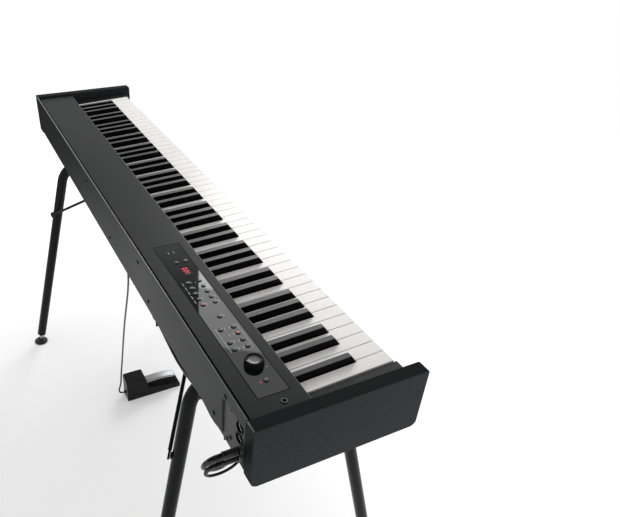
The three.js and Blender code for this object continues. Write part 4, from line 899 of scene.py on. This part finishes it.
# White keys. Each is a moulded key with a fine satin top, a square nose and a lip, notched for its
# neighbours. Every edge is eased so that fingers slide over it.
key_ivory = finish(
    "key_ivory", (0.74, 0.73, 0.71), (0.80, 0.79, 0.77), 0.24, 0.33, 0.008, 1400, cloud=14,
    stretch=(1, 0.25, 1),
)
white_nodes = [
    "key_A_0", "key_B_0", "key_C_1", "key_D_1", "key_E_1", "key_F_1", "key_G_1",
    "white_keys_A1_to_B4", "white_keys_C5_to_C8",
]
for node in white_nodes:
    softened(node, 0.45, key_ivory)


# Black keys. Tapered and rounded at the front, they are moulded in black with a finely brushed top
# that grips, and stand 12 mm above the whites.
key_ebony = finish(
    "key_ebony", (0.014, 0.014, 0.015), (0.026, 0.026, 0.028), 0.34, 0.44, 0.03, 1800, cloud=30,
    stretch=(1, 0.06, 1),
    Specular_IOR_Level=0.5,
)
black_nodes = [
    "key_A_sharp_0", "key_C_sharp_1", "key_D_sharp_1", "key_F_sharp_1", "key_G_sharp_1",
    "black_keys_A_sharp_1_to_A_sharp_4", "black_keys_C_sharp_5_to_A_sharp_7",
]
# Painted shade: the black keys' sides take a darker, duller copy of the black than their tops.
key_ebony_painted_shade = finish(
    "key_ebony_painted_shade", (0.0008, 0.0008, 0.001), (0.002, 0.002, 0.0022), 0.3, 0.42, 0.01, 1400,
    cloud=30, Specular_IOR_Level=0.05,
)
for node in black_nodes:
    sharp_key = softened(node, 0.7, key_ebony)
    sharp_key.data.materials.append(key_ebony_painted_shade)
    # Tops keep the black; every other face takes the painted shade.
    for face in sharp_key.data.polygons:
        face.material_index = 0 if face.normal.z > 0.9 else 1


# Jack plate. A flat steel plate behind the rear panel's opening, painted a shade lighter, and
# drilled for the two round sockets and the two phone jacks.
plate_paint = finish(
    "plate_paint", (0.026, 0.029, 0.026), (0.036, 0.039, 0.036), 0.42, 0.52, 0.02, 2000, cloud=14,
    Specular_IOR_Level=0.2,
)
softened("jack_plate", 0.35, plate_paint)


# Jack board. Two round sockets with steel shields and five contacts each, and two phone jacks whose
# plated nuts stand on the plate, are soldered on a small upright board beside the cheek.
jack_moulding = finish(
    "jack_moulding", (0.002, 0.002, 0.0022), (0.004, 0.004, 0.0044), 0.2, 0.3, 0.01, 1400, cloud=50,
    Specular_IOR_Level=0.06,
)
contact_brass = finish(
    "contact_brass", (0.50, 0.38, 0.16), (0.62, 0.48, 0.24), 0.2, 0.35, 0.01, 900, cloud=90,
    Metallic=1.0,
)
jack_body = softened("jack_board", 0.25, jack_moulding)
jack_body.data.materials.append(plug_steel)
NUT_FACE = (10.2 + 128.9) * MM
NUTS_TOP = 670 * MM
for face in jack_body.data.polygons:
    if face.center.y > NUT_FACE and face.center.z < NUTS_TOP:
        face.material_index = 1
SOCKET_X = -622.5
for name, socket_z in (("upper", 71.5), ("lower", 51.5)):
    mouth = CASE + Vector((SOCKET_X, 128.7, socket_z))
    shield = [
        (6.75, -6.6), (6.75, -2.2), (6.95, -2), (7.2, -2), (7.38, -2.3), (7.38, -6.6), (6.75, -6.6),
    ]
    turned(
        f"socket_shield_{name}", shield, mouth, (0, 1, 0), plug_steel, "case",
        steps=40,
    )
    rim = [
        (7.42, -1.2), (7.5, 0.9), (7.8, 1.3), (8.4, 1.45), (9.1, 1.35), (9.6, 1), (9.8, 0.4),
        (9.8, -0.15), (7.42, -1.2),
    ]
    turned(
        f"socket_rim_{name}", rim, mouth, (0, 1, 0), jack_moulding, "case",
        steps=40,
    )
    contacts = bmesh.new()
    for degrees in (0, 45, 90, 135, 180):
        angle = math.radians(degrees)
        place = mouth + Vector((4.2 * math.cos(angle), -6.4, -4.2 * math.sin(angle)))
        fastener(contacts, place, (0, 1, 0), 1, 1, 12, 0.6)
    placed(f"socket_contacts_{name}", contacts, contact_brass, "case", smooth=False)


# Top cover. One folded metal sheet, painted satin black, with a rounded nose over the
# keys, a recess for the control panel and a threaded bush at each end for a music rest.
cover_paint = finish(
    "cover_paint", (0.005, 0.0056, 0.006), (0.0085, 0.0091, 0.0095), 0.40, 0.48, 0.012, 2600,
    cloud=5, Specular_IOR_Level=0.13,
)
bush_steel = finish(
    "bush_steel", (0.16, 0.16, 0.165), (0.24, 0.24, 0.245), 0.30, 0.42, 0.01, 900, cloud=80,
    Metallic=0.8,
)
COVER_NOSE_Y = 0.0485
COVER_NOSE_Z = 0.7185
folded_sheet = softened("top_cover", 0.45, cover_paint)
folded_sheet.data.materials.append(painted_highlight_edge)
# The nose's forward sloping faces take the lighter colour, a painted highlight along the cover's
# front edge.
for face in folded_sheet.data.polygons:
    on_nose = face.center.z > COVER_NOSE_Z and face.center.y < COVER_NOSE_Y
    if on_nose and -0.85 < face.normal.y < -0.2:
        face.material_index = 1
for name, bush_x in (("bass", -628.5), ("treble", 628.5)):
    ring = [(3.25, -3), (3.25, 0.55), (3.45, 0.8), (4.05, 0.8), (4.3, 0.5), (4.3, -0.2), (3.25, -3)]
    turned(
        f"bush_{name}", ring, CASE + Vector((bush_x, 71, 100)), (0, 0, 1), bush_steel,
        "case", steps=40,
    )


# Control panel. A plate of black gloss plastic lies in the recess, pierced for knob, display and
# buttons. Plain printed strokes in white mark what the buttons and the knob do.
PANEL_X = -613.0
PANEL_Y = 54.0
PANEL_TOP = 100.0
PANEL_LENGTH = 391.0
PANEL_DEPTH = 46.0
SOUND_COLUMNS = (208, 223, 238.5, 253.8, 269.5)
FUNCTION_COLUMNS = (96.3, 111.6, 127.2, 142.3)
KNOB_X = 59.5
KNOB_Y = 21.1
panel_gloss = finish(
    "panel_gloss", (0.003, 0.0036, 0.004), (0.006, 0.0068, 0.0075), 0.02, 0.03, 0.0002, 220,
    cloud=8,
)
panel_print = finish(
    "panel_print", (0.50, 0.51, 0.52), (0.62, 0.63, 0.64), 0.4, 0.5, 0.004, 900, cloud=60,
)
softened("control_panel", 0.3, panel_gloss, least=3)


def panel_point(x, y, above=0.0):
    return CASE + Vector((PANEL_X + x, PANEL_Y + y, PANEL_TOP + above))


GASKET_OUT = 0.9
GASKET_IN = 0.5
# Dark rubber for the panel's gasket, also used as a painted shadow on the pedal housing.
gasket_rubber_and_painted_shadow = finish(
    "gasket_rubber_and_painted_shadow", (0.002, 0.002, 0.002), (0.004, 0.004, 0.004), 0.7, 0.85, 0.02, 1500, cloud=40,
    Specular_IOR_Level=0.1,
)
gasket = bmesh.new()
for low_x, high_x, low_y, high_y in (
    (-GASKET_OUT, GASKET_IN, -GASKET_OUT, PANEL_DEPTH + GASKET_OUT),
    (PANEL_LENGTH - GASKET_IN, PANEL_LENGTH + GASKET_OUT, -GASKET_OUT, PANEL_DEPTH + GASKET_OUT),
    (GASKET_IN, PANEL_LENGTH - GASKET_IN, -GASKET_OUT, GASKET_IN),
    (GASKET_IN, PANEL_LENGTH - GASKET_IN, PANEL_DEPTH - GASKET_IN, PANEL_DEPTH + GASKET_OUT),
):
    slab(gasket, panel_point(low_x, low_y, -1.2), panel_point(high_x, high_y, 0.12), 0.1, 1)
placed("panel_gasket", gasket, gasket_rubber_and_painted_shadow, "case", smooth=False)


PRINT_THICKNESS = 0.05
TICK_RADIUS = 17.4


def stroke(shape, x, y, length, width, turn=0.0):
    middle = panel_point(x, y, PRINT_THICKNESS / 2) * MM
    place = Matrix.Translation(middle) @ Matrix.Rotation(turn, 4, "Z")
    square = Matrix.Rotation(math.radians(45), 4, "Z")
    made = bmesh.ops.create_circle(shape, cap_ends=True, segments=4, radius=0.5, matrix=square)
    bmesh.ops.scale(shape, vec=Vector((length, width, 1)) * math.sqrt(2) * MM, verts=made["verts"])
    bmesh.ops.transform(shape, matrix=place, verts=made["verts"])


marks = bmesh.new()
for dash in range(5):
    stroke(marks, 219 + dash * 12.4, 39.6, 8.6, 0.7)
for label_y in (28, 18.6):
    stroke(marks, 365, label_y, 5.2, 0.8)
stroke(marks, 267.4, 18.8, 2.4, 0.8)
for column in SOUND_COLUMNS:
    for row in (5.6, 25.7):
        stroke(marks, column, row, 6, 0.55)
for row in (5.2, 38.6):
    stroke(marks, 119.4, row, 55, 0.45)
for column in FUNCTION_COLUMNS:
    for row in (18.4, 25.6):
        stroke(marks, column, row, 5.4, 0.55)
stroke(marks, 172.1, 13.6, 5, 0.55)
for degrees in (-140, 140):
    angle = math.radians(90 - degrees)
    tick_x = KNOB_X + TICK_RADIUS * math.cos(angle)
    tick_y = KNOB_Y + TICK_RADIUS * math.sin(angle)
    stroke(marks, tick_x, tick_y, 2.6, 0.7, angle)
bmesh.ops.solidify(marks, geom=marks.faces, thickness=PRINT_THICKNESS * MM)
placed("panel_marks", marks, panel_print, "case", smooth=False)


# Display. Three red numerals of seven segments each glow behind a smoked window and show a plain
# number. The window stands on the panel board.
display_smoke = finish(
    "display_smoke", (0.012, 0.003, 0.004), (0.020, 0.005, 0.006), 0.03, 0.06, 0.001, 300, cloud=20,
)
lit_red = finish(
    "lit_red", (0.55, 0.02, 0.04), (0.7, 0.04, 0.07), 0.3, 0.4, 0.001, 900, cloud=90,
    Emission_Color=(1.0, 0.02, 0.09, 1), Emission_Strength=1.0,
)
dim_red = finish(
    "dim_red", (0.030, 0.004, 0.005), (0.045, 0.006, 0.007), 0.2, 0.3, 0.001, 900, cloud=90,
)
softened("display_window", 0.4, display_smoke)
SEGMENT_LENGTH = 4.1
SEGMENT_WIDTH = 0.95
NUMERAL_SPACING = 7.6
SEGMENTS_LIT = {"1": "bc", "2": "abged", "0": "abcdef"}
SEGMENT_PLACES = {
    "a": (0, 1, 0), "b": (1, 1, 1), "c": (1, -1, 1), "d": (0, -1, 0),
    "e": (-1, -1, 1), "f": (-1, 1, 1), "g": (0, 0, 0),
}
window_top = panel_point(303.8, 19.8, -0.4)
lit_segments = bmesh.new()
dim_segments = bmesh.new()
for place_number, numeral in enumerate("120"):
    for segment, (right, up, upright) in SEGMENT_PLACES.items():
        shape = lit_segments if segment in SEGMENTS_LIT[numeral] else dim_segments
        half = SEGMENT_LENGTH / 2
        middle = Vector((
            (place_number - 1) * NUMERAL_SPACING + right * half,
            up * (half if upright else SEGMENT_LENGTH),
            0.06,
        ))
        made = bmesh.ops.create_circle(shape, cap_ends=True, segments=6, radius=1)
        bmesh.ops.scale(
            shape, vec=Vector((half - 0.15, SEGMENT_WIDTH / 2 * 1.15, 1)) * MM, verts=made["verts"],
        )
        bmesh.ops.rotate(
            shape, matrix=Matrix.Rotation(math.radians(90 * upright), 3, "Z"), verts=made["verts"],
        )
        bmesh.ops.translate(shape, vec=(window_top + middle) * MM, verts=made["verts"])
for name, shape, material in (("lit", lit_segments, lit_red), ("dim", dim_segments, dim_red)):
    bmesh.ops.solidify(shape, geom=shape.faces, thickness=0.05 * MM)
    placed(f"numerals_{name}", shape, material, "case", smooth=False)


# Buttons. Round domed caps are moulded on a rubber mat under each row, and two of them are lit red
# from below, as is the small lamp beside the power button.
button_moulding = finish(
    "button_moulding", (0.006, 0.006, 0.0065), (0.012, 0.012, 0.0125), 0.20, 0.30, 0.02, 1800,
    cloud=90,
)
WEB_TOP = -1.8
WEB_HALF = 4.6
cap_profile = [
    (0, -2.4), (3.75, -2.4), (3.8, -2.2), (3.8, 0.75), (3.72, 1.1), (3.5, 1.34), (3.2, 1.44),
    (2.7, 1.46), (0, 1.5),
]
lit_cap = finish(
    "lit_cap", (0.20, 0.012, 0.018), (0.30, 0.02, 0.03), 0.26, 0.36, 0.02, 1800, cloud=90,
    Emission_Color=(1.0, 0.03, 0.09, 1), Emission_Strength=0.4,
)
SINGLE_COLUMN = FUNCTION_COLUMNS[2]
BUTTON_ROWS = {
    "power_button": [(25.5, 20.7)],
    "display_buttons": [(332.6, 26.6), (332.6, 10.7)],
    "sound_buttons_front": [(x, 11.4) for x in SOUND_COLUMNS],
    "sound_buttons_rear": [(x, 31.5) for x in SOUND_COLUMNS],
    "function_buttons_front": [*((x, 12) for x in FUNCTION_COLUMNS), (172.1, 20.4)],
    "function_buttons_rear": [(x, 32.2) for x in FUNCTION_COLUMNS if x != SINGLE_COLUMN],
}
LIT_BUTTONS = [(SOUND_COLUMNS[0], 31.5), (SINGLE_COLUMN, 12)]
for node, places in BUTTON_ROWS.items():
    body = body_of(frame["nodes"][node])[0]
    xs = [x for x, y in places]
    ys = [y for x, y in places]
    web = bmesh.new()
    if node == "function_buttons_front":
        slab(
            web,
            panel_point(min(xs) - WEB_HALF, ys[0] - WEB_HALF, WEB_TOP - 1.6),
            panel_point(max(xs) + WEB_HALF, ys[0] + WEB_HALF, WEB_TOP),
            0.3,
        )
        slab(
            web,
            panel_point(xs[-1] - WEB_HALF, ys[0], WEB_TOP - 1.58),
            panel_point(xs[-1] + WEB_HALF, ys[-1] + WEB_HALF, WEB_TOP - 0.02),
            0.3,
        )
    else:
        slab(
            web,
            panel_point(min(xs) - WEB_HALF, min(ys) - WEB_HALF, WEB_TOP - 1.6),
            panel_point(max(xs) + WEB_HALF, max(ys) + WEB_HALF, WEB_TOP),
            0.3,
        )
    placed(node + "_web", web, button_moulding, body, [node], smooth=False)
    for number, place in enumerate(places):
        turned(
            f"{node}_cap_{number}", cap_profile, panel_point(*place), (0, 0, 1),
            button_moulding, body, steps=28,
        )
        if place in LIT_BUTTONS:
            glow_top = cap_profile[-1][1]
            glow = [
                (0, glow_top - 0.6), (1.75, glow_top - 0.6), (1.75, glow_top - 0.02),
                (1.4, glow_top + 0.03), (0, glow_top + 0.06),
            ]
            turned(
                f"{node}_light", glow, panel_point(*place), (0, 0, 1), lit_cap, body,
                steps=28,
            )
lamp_profile = [(0, -1), (0.9, -1), (0.9, 0), (0.7, 0.3), (0, 0.42)]
turned(
    "power_lamp", lamp_profile, panel_point(25.3, 28.9), (0, 0, 1), lit_red, "case",
    steps=16,
)


# Volume knob. A low turned cap with a shallow dish for a fingertip and a fine grip round its skirt
# sits on the shaft of the volume control.
knob_moulding = finish(
    "knob_moulding", (0.004, 0.004, 0.0045), (0.008, 0.008, 0.0085), 0.26, 0.36, 0.02, 1600,
    cloud=60, Specular_IOR_Level=0.08,
)
KNOB_DISH_RADIUS = 9.3
knob_foot = panel_point(KNOB_X, KNOB_Y, 0.5)
knob_profile = [
    (0, -4.7), (3, -4.7), (3, 0), (13.6, 0), (14.1, 0.15), (14.3, 0.5), (14.25, 1.2), (13.9, 1.5),
    (13.85, 2), (14.05, 2.3), (13.2, 7.6), (12.95, 8.6), (12.5, 9.2), (11.9, 9.46), (11.2, 9.5),
    (10.3, 9.46), (9.8, 9.2), (9, 8.75), (7.5, 8.45), (5, 8.33), (2.5, 8.3), (0, 8.3),
]
knob_dish = finish(
    "knob_dish", (0.006, 0.006, 0.0065), (0.012, 0.012, 0.0125), 0.20, 0.28, 0.01, 1600, cloud=60,
    Specular_IOR_Level=0.6,
)
knob_cap = turned(
    "volume_knob_cap", knob_profile, knob_foot, (0, 0, 1), knob_moulding,
    body_of(frame["nodes"]["volume_knob"])[0], ["volume_knob"], 72,
)
knob_cap.data.materials.append(knob_dish)
for face in knob_cap.data.polygons:
    from_middle = (face.center / MM - knob_foot).to_2d().length
    if face.normal.z > 0.7 and from_middle < KNOB_DISH_RADIUS:
        face.material_index = 1
pointer = bmesh.new()
slab(
    pointer,
    knob_foot + Vector((-0.5, 9.6, 9.2)),
    knob_foot + Vector((0.5, 11.9, 9.5)),
    0.1,
)
placed(
    "volume_knob_pointer", pointer, panel_print,
    body_of(frame["nodes"]["volume_knob"])[0], smooth=False,
)


# Damper pedal. A moulded housing with eased edges stands on a sheet of ribbed rubber. A pressed
# lever, chromed, dished and curled at its tip, comes out of its mouth and turns on an axle inside.
housing_moulding = finish(
    "housing_moulding", (0.006, 0.006, 0.0065), (0.012, 0.012, 0.0125), 0.34, 0.46, 0.05, 1300,
    cloud=35, Specular_IOR_Level=0.1,
)
lever_chrome = finish(
    "lever_chrome", (0.31, 0.32, 0.33), (0.36, 0.37, 0.38), 0.38, 0.46, 0.0005, 300, cloud=30,
    Metallic=1.0,
)
SLOPE_REAR_Y = 0.0345
housing = softened("pedal_housing", 1.1, housing_moulding, segments=3)
# The upward faces at the front, under the lever, take the darker rubber colour, a painted shadow of
# the lever.
housing.data.materials.append(gasket_rubber_and_painted_shadow)
for face in housing.data.polygons:
    if face.normal.z > 0.5 and face.center.y < SLOPE_REAR_Y:
        face.material_index = 1
LEVER_PIVOT = Vector((160.5, 50.2, 44))
LEVER_TAIL = 8.0
LEVER_REACH = 107.0
LEVER_HALF = 13.0
LEVER_THICKNESS = 2.95
LEVER_TIP = 1.8
LEVER_CROWN = 3.5
LEVER_DROP = 10
LEVER_STEPS = 60
LEVER_SIDES = 36
tongue = bmesh.new()
rings = []
for step in range(LEVER_STEPS + 1):
    share = (step / LEVER_STEPS) ** 0.8
    gone = share * (LEVER_REACH + LEVER_TAIL)
    to_tip = max(LEVER_REACH + LEVER_TAIL - gone, 0.02)
    half = LEVER_HALF * math.sin(math.acos(1 - min(to_tip / LEVER_HALF, 1)))
    thick = LEVER_THICKNESS * min(1, (to_tip / LEVER_TIP) ** 0.5)
    crown = LEVER_CROWN * math.sin(share * math.pi * 0.55) - LEVER_DROP * share ** 4
    ring = []
    for side in range(LEVER_SIDES):
        turn = 2 * math.pi * side / LEVER_SIDES
        across = math.copysign(abs(math.cos(turn)) ** 0.35, math.cos(turn))
        over = math.copysign(abs(math.sin(turn)) ** 0.6, math.sin(turn))
        ring.append(tongue.verts.new((
            LEVER_PIVOT + Vector((across * half, LEVER_TAIL - gone, crown + over * thick))
        ) * MM))
    rings.append(ring)
skin(tongue, rings)
bmesh.ops.create_cone(
    tongue, cap_ends=True, segments=32, radius1=3 * MM, radius2=3 * MM,
    depth=(2 * LEVER_HALF + 7) * MM,
    matrix=Matrix.Translation(LEVER_PIVOT * MM) @ Matrix.Rotation(math.pi / 2, 4, "Y"),
)
bmesh.ops.recalc_face_normals(tongue, faces=tongue.faces)
placed(
    "pedal_lever_tongue", tongue, lever_chrome,
    body_of(frame["nodes"]["pedal_lever"])[0], ["pedal_lever"],
)
softened("pedal_sole", 0.4, pad_rubber)
softened("pedal_gland", 0.3, pad_rubber)


# Coil tie. A rubber strap goes round the frame's level run and the top of the coiled lead, and
# holds both together.
coat(tie_strap, pad_rubber)


# Floor and light. A white floor whose glow dims round a point behind the piano, a painted shadow,
# and which reflections see darken farther along x, a white room with a darker ceiling that only
# reflections see, and an upright soft light beside the camera with a small one over the far end,
# as in a studio.
FLOOR_HALF = 30
FLOOR_GLOW = 0.43
# Centre of the painted shadow on the floor, in metres
FLOOR_SHADOW_CENTRE = (-0.05, 0.45, 0)
floor_shape = bmesh.new()
bmesh.ops.create_grid(floor_shape, x_segments=1, y_segments=1, size=FLOOR_HALF)
floor_mesh = bpy.data.meshes.new("floor")
floor_shape.to_mesh(floor_mesh)
floor_shape.free()
floor = bpy.data.objects.new("floor", floor_mesh)
bpy.context.scene.collection.objects.link(floor)
floor_material = bpy.data.materials.new("floor_white")
floor_material.use_nodes = True
floor_nodes, floor_links = floor_material.node_tree.nodes, floor_material.node_tree.links
floor_shader = floor_nodes["Principled BSDF"]
floor_shader.inputs["Roughness"].default_value = 0.9
floor_shader.inputs["Specular IOR Level"].default_value = 0.0
floor_shader.inputs["Emission Color"].default_value = (1, 1, 1, 1)
floor_rays = floor_nodes.new("ShaderNodeLightPath")
floor_place = floor_nodes.new("ShaderNodeTexCoord")
floor_axes = floor_nodes.new("ShaderNodeSeparateXYZ")
floor_links.new(floor_place.outputs["Object"], floor_axes.inputs[0])
from_shadow_centre = floor_nodes.new("ShaderNodeVectorMath")
from_shadow_centre.operation = "DISTANCE"
from_shadow_centre.inputs[1].default_value = FLOOR_SHADOW_CENTRE
floor_links.new(floor_place.outputs["Object"], from_shadow_centre.inputs[0])


# Smooth change from one value to another as what comes in goes from near to far
def fade_over(nodes, near, far, start, end):
    fade = nodes.new("ShaderNodeMapRange")
    fade.interpolation_type = "SMOOTHSTEP"
    fade.inputs["From Min"].default_value = near
    fade.inputs["From Max"].default_value = far
    fade.inputs["To Min"].default_value = start
    fade.inputs["To Max"].default_value = end
    return fade


# Camera rays see the floor's glow dim towards the painted shadow's centre; glossy rays see it fade
# farther along x.
fades = []
for source, near, far, start, end, kind in (
    (from_shadow_centre.outputs["Value"], 0.25, 1.2, 0.45, 1.0, "Is Camera Ray"),
    (floor_axes.outputs["X"], 0.6, 2.0, 1.0, 0.04, "Is Glossy Ray"),
):
    fade = fade_over(floor_nodes, near, far, start, end)
    floor_links.new(source, fade.inputs["Value"])
    share = floor_nodes.new("ShaderNodeMath")
    share.operation = "MULTIPLY"
    floor_links.new(fade.outputs["Result"], share.inputs[0])
    floor_links.new(floor_rays.outputs[kind], share.inputs[1])
    fades.append(share)
mirrored_floor = floor_nodes.new("ShaderNodeMix")
mirrored_floor.data_type = "RGBA"
mirrored_floor.inputs["A"].default_value = (0.8, 0.8, 0.8, 1)
mirrored_floor.inputs["B"].default_value = (0.06, 0.06, 0.06, 1)
shaded = floor_nodes.new("ShaderNodeMath")
shaded.operation = "SUBTRACT"
floor_links.new(floor_rays.outputs["Is Glossy Ray"], shaded.inputs[0])
floor_links.new(fades[1].outputs[0], shaded.inputs[1])
floor_links.new(shaded.outputs[0], mirrored_floor.inputs["Factor"])
floor_links.new(mirrored_floor.outputs[2], floor_shader.inputs["Base Color"])
seen = floor_nodes.new("ShaderNodeMath")
seen.operation = "MAXIMUM"
floor_links.new(fades[0].outputs[0], seen.inputs[0])
floor_links.new(fades[1].outputs[0], seen.inputs[1])
glow = floor_nodes.new("ShaderNodeMath")
glow.operation = "MULTIPLY"
glow.inputs[1].default_value = FLOOR_GLOW
floor_links.new(seen.outputs[0], glow.inputs[0])
floor_links.new(glow.outputs[0], floor_shader.inputs["Emission Strength"])
floor_side = floor_nodes.new("ShaderNodeNewGeometry")
from_below = floor_nodes.new("ShaderNodeBsdfTransparent")
one_sided = floor_nodes.new("ShaderNodeMixShader")
floor_links.new(floor_side.outputs["Backfacing"], one_sided.inputs[0])
floor_links.new(floor_shader.outputs[0], one_sided.inputs[1])
floor_links.new(from_below.outputs[0], one_sided.inputs[2])
floor_links.new(one_sided.outputs[0], floor_nodes["Material Output"].inputs["Surface"])
floor.data.materials.append(floor_material)

ROOM_LIGHT = 0.72
CEILING_LOW = 0.40
CEILING_HIGH = 0.66
CEILING_LIGHT = 0.05
bpy.context.scene.view_settings.view_transform = "Standard"
world = bpy.data.worlds.new("white_room")
bpy.context.scene.world = world
world.use_nodes = True
world_nodes, world_links = world.node_tree.nodes, world.node_tree.links
background = world_nodes["Background"]
rays = world_nodes.new("ShaderNodeLightPath")
direction = world_nodes.new("ShaderNodeTexCoord")
height = world_nodes.new("ShaderNodeSeparateXYZ")
world_links.new(direction.outputs["Generated"], height.inputs[0])
ceiling = fade_over(world_nodes, CEILING_LOW, CEILING_HIGH, 1.0, CEILING_LIGHT)
world_links.new(height.outputs["Z"], ceiling.inputs["Value"])
reflected = world_nodes.new("ShaderNodeMix")
reflected.data_type = "FLOAT"
reflected.inputs["A"].default_value = ROOM_LIGHT
world_links.new(rays.outputs["Is Glossy Ray"], reflected.inputs["Factor"])
world_links.new(ceiling.outputs["Result"], reflected.inputs["B"])
strength = world_nodes.new("ShaderNodeMath")
strength.operation = "MAXIMUM"
world_links.new(rays.outputs["Is Camera Ray"], strength.inputs[0])
world_links.new(reflected.outputs["Result"], strength.inputs[1])
background.inputs["Color"].default_value = (1, 1, 1, 1)
world_links.new(strength.outputs[0], background.inputs["Strength"])


def soft_light(name, width, height, energy, place):
    light = bpy.data.lights.new(name, "AREA")
    light.shape = "RECTANGLE"
    light.size = width
    light.size_y = height
    light.energy = energy
    lamp = bpy.data.objects.new(name, light)
    bpy.context.scene.collection.objects.link(lamp)
    lamp.matrix_world = place


FAR_BOX_PLACE = (0.55, -0.05, 1.5)
soft_light(
    "far_softbox", width=0.6, height=0.25, energy=1.1, place=Matrix.Translation(FAR_BOX_PLACE),
)

WINDOW_WIDTH = 1.55
WINDOW_X = 2.17
WINDOW_Y = -1.8
WINDOW_AIM_X = -0.4
WINDOW_PANES = (("lower", 1.4, 3.0, 46), ("middle", 3.0, 3.6, 8), ("upper", 3.6, 4.3, 4))
for name, low_edge, high_edge, energy in WINDOW_PANES:
    pane = Vector((WINDOW_X, WINDOW_Y, (low_edge + high_edge) / 2))
    facing = Vector((WINDOW_AIM_X, 0.0, pane.z)) - pane
    turn = facing.to_track_quat("-Z", "Y").to_matrix().to_4x4()
    soft_light(
        "window_" + name, WINDOW_WIDTH, high_edge - low_edge, energy,
        Matrix.Translation(pane) @ turn,
    )
